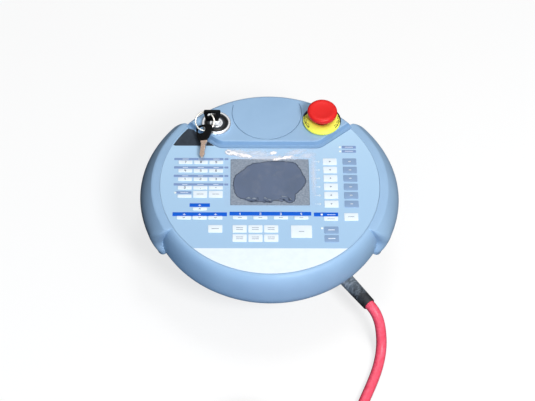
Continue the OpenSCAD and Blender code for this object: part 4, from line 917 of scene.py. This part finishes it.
def make_estop():
    """The emergency stop: yellow collar, red mushroom head, a black arc of painted shadow and printed
    arrows.
    """
    collar = [(8.2, 4.3), (9.0, 4.9), (11.6, 6.2), (13.2, 6.4), (15.9, 5.5), (18.7, 3.8), (19.2, 2.8),
              (18.8, 1.4), (17.4, 0), (11.4, 0), (11.4, 4.1), (8.2, 4.2)]
    lathe("estop_collar_yellow", filleted(collar, 0.7), ESTOP, "yellow", replaces=["estop_collar"])
    head = [(3.6, 14.9), (3.6, 9.3), (8.4, 9.2), (10.6, 10.8), (13.8, 12.2), (15.0, 14.2), (15.2, 16.2),
            (14.9, 17.7), (13.6, 18.9), (12.0, 19.3), (10.2, 19.2), (8.4, 18.85), (5.0, 18.6), (0.0, 18.5)]
    lathe("estop_head_red", filleted(head, 1.6, 6), ESTOP, "red", "estop_head_body",
          replaces=["estop_mushroom"])
    painted_shadow_arc()
    marks_on_collar()


def painted_shadow_arc():
    """A black arc round the back of the collar, widest at the back left: the painted shadow of the head."""
    verts, n = [], 60
    for a in (-12 + 180 * i / n for i in range(n + 1)):
        # Painted shadow: widest at the back left, a thin line at the right
        inner = 18.6 - 2.5 * smooth_step((a + 12) / 70) * smooth_step((168 - a) / 10)
        for r, up in ((19.5, 0.2), (19.6, 2.9), (19.0, 3.95), (inner, collar_slope(inner) + 0.25),
                      (inner, collar_slope(inner) - 0.8)):
            verts.append(polar(ESTOP, r, a) + (CONSOLE_Z + up,))
    faces = grid_faces(n + 1, 5, closed=False)
    faces += [(4, 3, 2, 1, 0), tuple(range(5 * n, 5 * n + 5))]
    piece("estop_painted_shadow_arc", verts, faces, "black", sharp=35)


def marks_on_collar():
    """Curved arrows on both sides of the collar's slope that show which way the head turns."""
    verts, faces = [], []

    def band(r0, r1, a0, a1, taper=0.0):
        """A printed stretch between two radii and two angles, narrower at its end."""
        start, n = len(verts), 14
        for i in range(n + 1):
            shrink = taper * i / n * (r1 - r0) / 2
            for r in (r0 + shrink, r1 - shrink):
                verts.append(polar(ESTOP, r, a0 + (a1 - a0) * i / n) + (CONSOLE_Z + collar_slope(r) + 0.16,))
        faces.extend([(i, i + 1, i + 3, i + 2) for i in range(start, start + 2 * n, 2)])

    # Three arrows on each side: a shaft, its head and two dashes inside the shaft
    for first in (165, 184, 203, -41, -22, -3):
        band(17.3, 17.9, first, first + 14)
        band(16.2, 18.5, first + 13, first + 18, 1.0)
        band(15.6, 16.6, first + 2, first + 5)
        band(15.6, 16.6, first + 8, first + 10)
    piece("estop_turn_arrows", verts, faces, "black_print", smooth=False)


# ---- key switch and keys ----
def make_key_ring():
    """The wire ring that leans through the holes of both keys."""
    low, high = low_high("key_ring")
    at = middle("key_ring")
    wire, tilt, n, m = 0.8, radians(38), 96, 20
    c, s = cos(tilt), sin(tilt)
    verts = []
    for i in range(n):
        for j in range(m):
            r, z = polar(((high[0] - low[0]) / 2 - wire, 0), wire, 360 * j / m)
            x, y = polar((0, 0), r, 360 * i / n)
            verts.append((at[0] + x, at[1] + y * c - z * s, at[2] + y * s + z * c))
    faces = [(i * m + j, (i + 1) % n * m + j, (i + 1) % n * m + (j + 1) % m, i * m + (j + 1) % m)
             for i in range(n) for j in range(m)]
    piece("key_ring_wire", verts, faces, "nickel", "key_ring_body", replaces=["key_ring"])


def make_lock():
    """The key switch: bright bezel and black rosette round the cylinder, and the key ring."""
    bezel = [(11.4, 1.5), (11.6, 1.6), (11.9, 2.9), (12.8, 3.5), (14.3, 3.2), (15.2, 2.1), (15.4, 0.9),
             (15.4, 0), (11.4, 0)]
    lathe("lock_bezel_bright", filleted(bezel, 0.5), LOCK, "chrome", replaces=["lock_bezel"])
    rosette = [(10.4, 1.6), (11.3, 1.6), (11.2, 2.4), (9.0, 3.0), (8.6, 2.6), (10.4, 2.3)]
    lathe("lock_rosette_black", filleted(rosette, 0.3), LOCK, "black", replaces=["lock_rosette"])
    make_key_ring()


# ---- cable outlet ----
HEADING = radians(-54)
BOOT_L, BOOT_HALF = 52.0, 6.2  # length, and half the thickness of its end in CAD
# The cable's course from the boot down to the floor and on to the coil
ROUTE_TAIL = [(104.6, -110.6, 37), (107.8, -116, 31), (109.6, -121.8, 24.5), (110.6, -128.4, 16.5),
              (110.4, -135, 11), (109.2, -142.4, 7.4), (106.6, -152.4, 5.6), (103, -163, 5.25),
              (98.6, -174, 5.25), (91.4, -190.6, 5.25), (83, -211, 5.25), (75, -232, 5.25),
              (69.6, -253, 5.5), (67.2, -273, 6.1)]


def boot_end():
    """Where the cable leaves its boot, the near end of the CAD tube, and which way it points."""
    along = Vector((cos(HEADING), sin(HEADING), 0))
    low, high = low_high("cable_boot")
    return Vector((high[0] - BOOT_HALF * abs(along.y), low[1] + BOOT_HALF * abs(along.x),
                   (low[2] + high[2]) / 2)), along


def make_boot():
    """The boot: flange, six ribs and a smooth taper, turned about the outlet's level axis."""
    tip, along = boot_end()
    start = tip - along * BOOT_L
    side = Vector((-along.y, along.x, 0))
    profile = [(0.0, 5.4), (0.0, 7.6), (0.5, 8.2), (3.6, 8.2), (4.3, 8.0), (4.9, 7.55), (6.0, 7.5)]
    for s in (8.0 + k * 3.4 for k in range(6)):
        r = 7.45 - (s - 8) * 0.021
        profile += [(s, r), (s + 0.5, r - 0.28), (s + 1.3, r - 0.28), (s + 1.8, r - 0.03)]
    profile += [(30, 6.98), (40, 6.75), (46, 6.6), (50.6, 6.5), (51.6, 6.3), (52.0, 5.95), (52.0, 5.3)]
    count = 64
    verts = []
    for s, r in profile:
        for across, up in arc(0, 0, r, 0, 360, count)[:-1]:
            verts.append(tuple(start + along * s + side * across + Vector((0, 0, up))))
    piece("boot_rubber", verts, grid_faces(len(profile), count), "boot", replaces=["cable_boot"], sharp=50)


def make_spring():
    """The stop's coil spring, wound at its length at rest."""
    low, high = low_high("estop_spring")
    wire, turns, n, travel = 0.45, 4, 144, 4.0
    r = (high[0] - low[0]) / 2 - wire
    length = high[2] - low[2]
    path = [Vector(polar(ESTOP, r, 360 * turns * i / n) + (low[2] + wire + (length - 2 * wire) * i / n,))
            for i in range(n + 1)]
    verts, faces = tube_mesh(path, wire, 10)
    spring = piece("estop_spring_wire", verts, faces, "steel", replaces=["estop_spring"])
    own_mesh(spring)


# ---- cable ----
def course(points):
    """Points close together on a smooth way from the first to the last of these."""
    points = [Vector(p) for p in points]
    ends = [2 * points[0] - points[1]] + points + [2 * points[-1] - points[-2]]
    return curve(ends, 1.6) + [points[-1]]


OUTER, TURNS, LAYERS = 72.2, 2.918, 4  # radius of the outer turn, turns in a layer and layers
FLOOR_Z, TOP_R = 6.45, 60.0  # height of the lowest layer's middle, radius of the part turn on top
SWEEP = 360 * TURNS
WOUND_TO = 12 * 360 + 120  # degrees of winding, with the part turn on top, up to where the tail leaves
CLIMB_FROM, CLIMB_OVER = 34, 76  # degrees before a layer's end where the climb begins, and its length


def coil_point(a):
    """The cable's middle after this many degrees of winding, clockwise: layers go alternately inwards
    and outwards, and the last part turn lies on top of them."""
    layer = min(int(a // SWEEP), LAYERS)
    within = a - layer * SWEEP
    z = FLOOR_Z + CABLE_D * layer
    if layer:
        z -= CABLE_D * (1 - smooth_step((CLIMB_FROM + within) / CLIMB_OVER))
    if layer < LAYERS:
        z += CABLE_D * smooth_step((CLIMB_FROM - SWEEP + within) / CLIMB_OVER)
        r = OUTER - CABLE_D * (within if layer % 2 == 0 else SWEEP - within) / 360
    else:
        r = OUTER + (TOP_R - OUTER) * smooth_step(within / 110)
    return Vector(polar(COIL, r, -a) + (z,))


def tube_mesh(path, radius, segments=20):
    """A tube round a path, carried along without twisting."""
    verts = []
    side = (path[1] - path[0]).normalized().orthogonal().normalized()
    for i in range(len(path)):
        ahead = (path[min(i + 1, len(path) - 1)] - path[max(i - 1, 0)]).normalized()
        side = (side - ahead * side.dot(ahead)).normalized()
        other = ahead.cross(side)
        for across, up in arc(0, 0, radius, 0, 360, segments)[:-1]:
            verts.append(tuple(path[i] + side * across + other * up))
    ends = [tuple(range(segments - 1, -1, -1)), tuple(range(len(verts) - segments, len(verts)))]
    return verts, grid_faces(len(path), segments) + ends


def make_cable():
    """The whole cable from its boot over the floor, through the coil and into the connector."""
    tip, along = boot_end()
    lead = course([tip - along * 3, tip, tip + along * 4, *ROUTE_TAIL, (COIL[0] + OUTER, COIL[1], FLOOR_Z)])
    coil = [coil_point(a) for a in range(0, WOUND_TO, 4)]
    low, high = low_high("connector_clamp")
    end = Vector(((low[0] + high[0]) / 2, low[1], (low[2] + high[2]) / 2))
    top = coil[-1].z
    rise = end.z - top
    tail = [coil[-1], (-48.4, -334.4, top + 0.08 * rise), (-55.8, -326.6, top + 0.45 * rise),
            (-61.6, -319.4, top + 0.85 * rise), end - Vector((0, 4, 0)), end + Vector((0, 3, 0))]
    path = lead[:1]
    for p in lead[1:-1] + coil[:-1] + course(tail):
        if (p - path[-1]).length > 0.5:
            path.append(p)
    verts, faces = tube_mesh(path, CABLE_D / 2)
    cable = piece("cable_whole", verts, faces, "jacket", replaces=["cable_tube", "cable_coil", "cable_tail"])
    length = sum((b - a).length for a, b in zip(path, path[1:]))
    return cable, path, length, tip


def hull(points):
    """The convex outline of flat points."""
    points = sorted(set(points))

    def half(run):
        """The outline's lower or upper half, without its last point."""
        out = []
        for p in run:
            while len(out) > 1 and ((out[-1][0] - out[-2][0]) * (p[1] - out[-2][1])
                                    - (out[-1][1] - out[-2][1]) * (p[0] - out[-2][0])) <= 0:
                out.pop()
            out.append(p)
        return out[:-1]

    return half(points) + half(points[::-1])


def make_tie(route):
    """The strap drawn round the coil's windings where the CAD tie is."""
    at = middle("cable_tie")
    turn = atan2(at[1] - COIL[1], at[0] - COIL[0])
    c, s = cos(turn), sin(turn)
    half_w, thickness, slack = 2.3, 1.0, 0.1
    near = 4  # a winding this close to the strap's middle is one that the strap holds
    section = []
    for p in route:
        x, y = p.x - COIL[0], p.y - COIL[1]
        along, sideways = x * c + y * s, y * c - x * s
        if abs(sideways) < near and along > 0 and hypot(x, y) < OUTER + near:
            round_cable = arc(0, 0, CABLE_D / 2 + slack, 0, 345, 23)
            section += [(round(along + q, 3), round(p.z + w, 3)) for q, w in round_cable]
    inner = hull(section)
    centre = Vector((sum(p[0] for p in inner), sum(p[1] for p in inner))) / len(inner)
    verts = []
    for side, grow in ((-half_w, 0.0), (half_w, 0.0), (half_w, thickness), (-half_w, thickness)):
        for p in inner:
            out = (Vector(p) - centre).normalized() * grow
            u = p[0] + out.x
            verts.append((COIL[0] + u * c - side * s, COIL[1] + u * s + side * c, max(p[1] + out.y, 0.1)))
    n = len(inner)
    faces = [(r * n + i, r * n + (i + 1) % n, (r + 1) % 4 * n + (i + 1) % n, (r + 1) % 4 * n + i)
             for r in range(4) for i in range(n)]
    piece("tie_strap", verts, faces, "black", replaces=["cable_tie"], sharp=35)


# ---- CAD nodes that are shown as they are ----
# Material, size of the small edges in mm, and the nodes that get them
DRESSED = [
    ("shell", 0.5, "rear_housing handle_body handle_cover"),
    ("key_black", 0.45, "key_head spare_key_head"),
    ("blade", 0.2, "spare_key_blade"),
    ("chrome", 0.2, "key_blade lock_cylinder"),
    ("rubber", 0.3, "housing_seal estop_gasket handle_feet"),
    ("soot", 0.6, "enabling_rocker_right enabling_rocker_left"),
    ("soot", 0.4, "cable_gland blank_plug"),
    ("soot", 0.2, "estop_body lock_body estop_contact_block lock_contact_block display_module"),
    ("soot", 0.2, "enabling_switch_right enabling_switch_left"),
    ("red", 0.2, "estop_plunger"),
    ("steel", 0.08, "estop_nut lock_nut rocker_pins display_bracket snap_domes"),
    ("steel", 0.08, "housing_screws handle_screws cover_screws"),
    ("contact", 0.08, "board_standoffs connector_insert"),
    ("spacer", 0.05, "keypad_spacer"),
    ("board", 0.05, "keypad_board main_board"),
    ("led", 0.05, "status_leds"),
    ("ribbon", 0.1, "ribbon_cable"),
    ("alu", 0.3, "connector_body connector_clamp"),
    ("nickel", 0.25, "connector_ring"),
]


def dress(names, mat, edge):
    """CAD nodes get a material, smooth curved faces and small round edges."""
    for name in names:
        obj = nodes[name]
        mesh = obj.data
        if "custom_normal" in mesh.attributes:
            mesh.attributes.remove(mesh.attributes["custom_normal"])
        mesh.materials.clear()
        mesh.materials.append(MATS[mat])
        mesh.polygons.foreach_set("use_smooth", [True] * len(mesh.polygons))
        weld = obj.modifiers.new("weld", "WELD")
        weld.merge_threshold = 1e-6
        bevel = obj.modifiers.new("edges", "BEVEL")
        bevel.width = edge * MM
        bevel.segments = 2
        bevel.limit_method = "ANGLE"
        bevel.angle_limit = radians(38)
        bevel.use_clamp_overlap = True
        bevel.harden_normals = True


# ---- floor, light and background ----
def seen_ray(tree):
    """1 where the camera looks, also through clear film, and 0 for light that only bounces."""
    rays = [add(tree, "LightPath", out=kind) for kind in ("Is Camera Ray", "Is Transmission Ray")]
    return add(tree, "Math", rays, operation="MAXIMUM")


def make_floor():
    """White paper: it glows for the eye like the page of a catalogue, but throws little light
    back up, so that the pendant's underside stays dark."""
    half, down = 4000, -0.02
    corners = [(-half, -half, down), (half, -half, down), (half, half, down), (-half, half, down)]
    mesh = bpy.data.meshes.new("floor")
    mesh.from_pydata([Vector(v) * MM for v in corners], [], [(0, 1, 2, 3)])
    mat, tree, shader = plain("paper_background_white", "#4c4e52", 0.9, sheen=0.0)
    lit = add(tree, "BsdfDiffuse", [srgb("#ffffff")])
    glow = add(tree, "Emission", [srgb("#ffffff"), 1.0])
    pale = add(tree, "MixShader", [0.74, lit, glow])
    both = add(tree, "MixShader", [seen_ray(tree), shader.outputs[0], pale])
    connect(tree.nodes["Material Output"], {"Surface": both})
    mesh.materials.append(mat)
    put("floor", mesh)


def make_lamps():
    """Three round soft boxes, each (name, place in metres, size, power, colour)."""
    lamps = [("key", (0.5, -0.95, 1.3), 0.45, 18.5, "#ffffff"),
             ("top", (0.15, 0.30, 1.7), 0.45, 6.0, "#ffffff"),
             ("front", (-0.5, -1.4, 0.25), 0.9, 7.6, "#b8deff")]
    aim = Vector((0, 0, 0.08))
    for name, at, size, power, colour in lamps:
        light = bpy.data.lights.new(name, "AREA")
        light.shape = "DISK"
        light.size = size
        light.energy = power
        light.color = srgb(colour)[:3]
        lamp = put(name, light)
        lamp.location = at
        lamp.rotation_euler = (aim - Vector(at)).to_track_quat("-Z", "Y").to_euler()


def make_world():
    """White to the eye; as a source of light it is brighter overhead and to the right."""
    world = bpy.data.worlds.new("studio")
    world.use_nodes = True
    tree = world.node_tree
    place = add(tree, "TexCoord", out="Generated")
    x, y, z = (add(tree, "SeparateXYZ", [place], axis) for axis in "XYZ")
    sideways = add(tree, "MapRange", [x, -0.4, 1, 0.0, 0.3])
    upward = add(tree, "MapRange", [z, 0.3, 1, 0.0, 0.34])
    forward = add(tree, "MapRange", [y, 0, -1, 0.0, 0.12])
    above = add(tree, "Math", [sideways, upward], operation="ADD")
    glow = add(tree, "Math", [above, forward], operation="ADD")
    ceiling = add(tree, "MapRange", [z, 0.15, 0.6, 0.0, 0.8])
    mirror_ray = add(tree, "LightPath", out="Is Glossy Ray")
    mirrored = add(tree, "Math", [mirror_ray, ceiling], operation="MULTIPLY")
    seen = add(tree, "Math", [add(tree, "LightPath", out="Is Camera Ray"), mirrored], operation="MAXIMUM")
    strength = add(tree, "Math", [seen, glow], operation="MAXIMUM")
    connect(tree.nodes["Background"], {"Color": (1.0, 1.0, 1.0, 1.0), "Strength": strength})
    bpy.context.scene.world = world


make_camera()
cable, route, cable_length, cable_exit = make_cable()
make_tie(route)
make_rim()
make_console()
make_keypad()
make_legends()
make_display()
make_estop()
make_lock()
make_boot()
make_spring()
for mat, edge, names in DRESSED:
    dress(names.split(), mat, edge)
make_floor()
make_lamps()
make_world()
bpy.context.scene.view_settings.view_transform = "Standard"
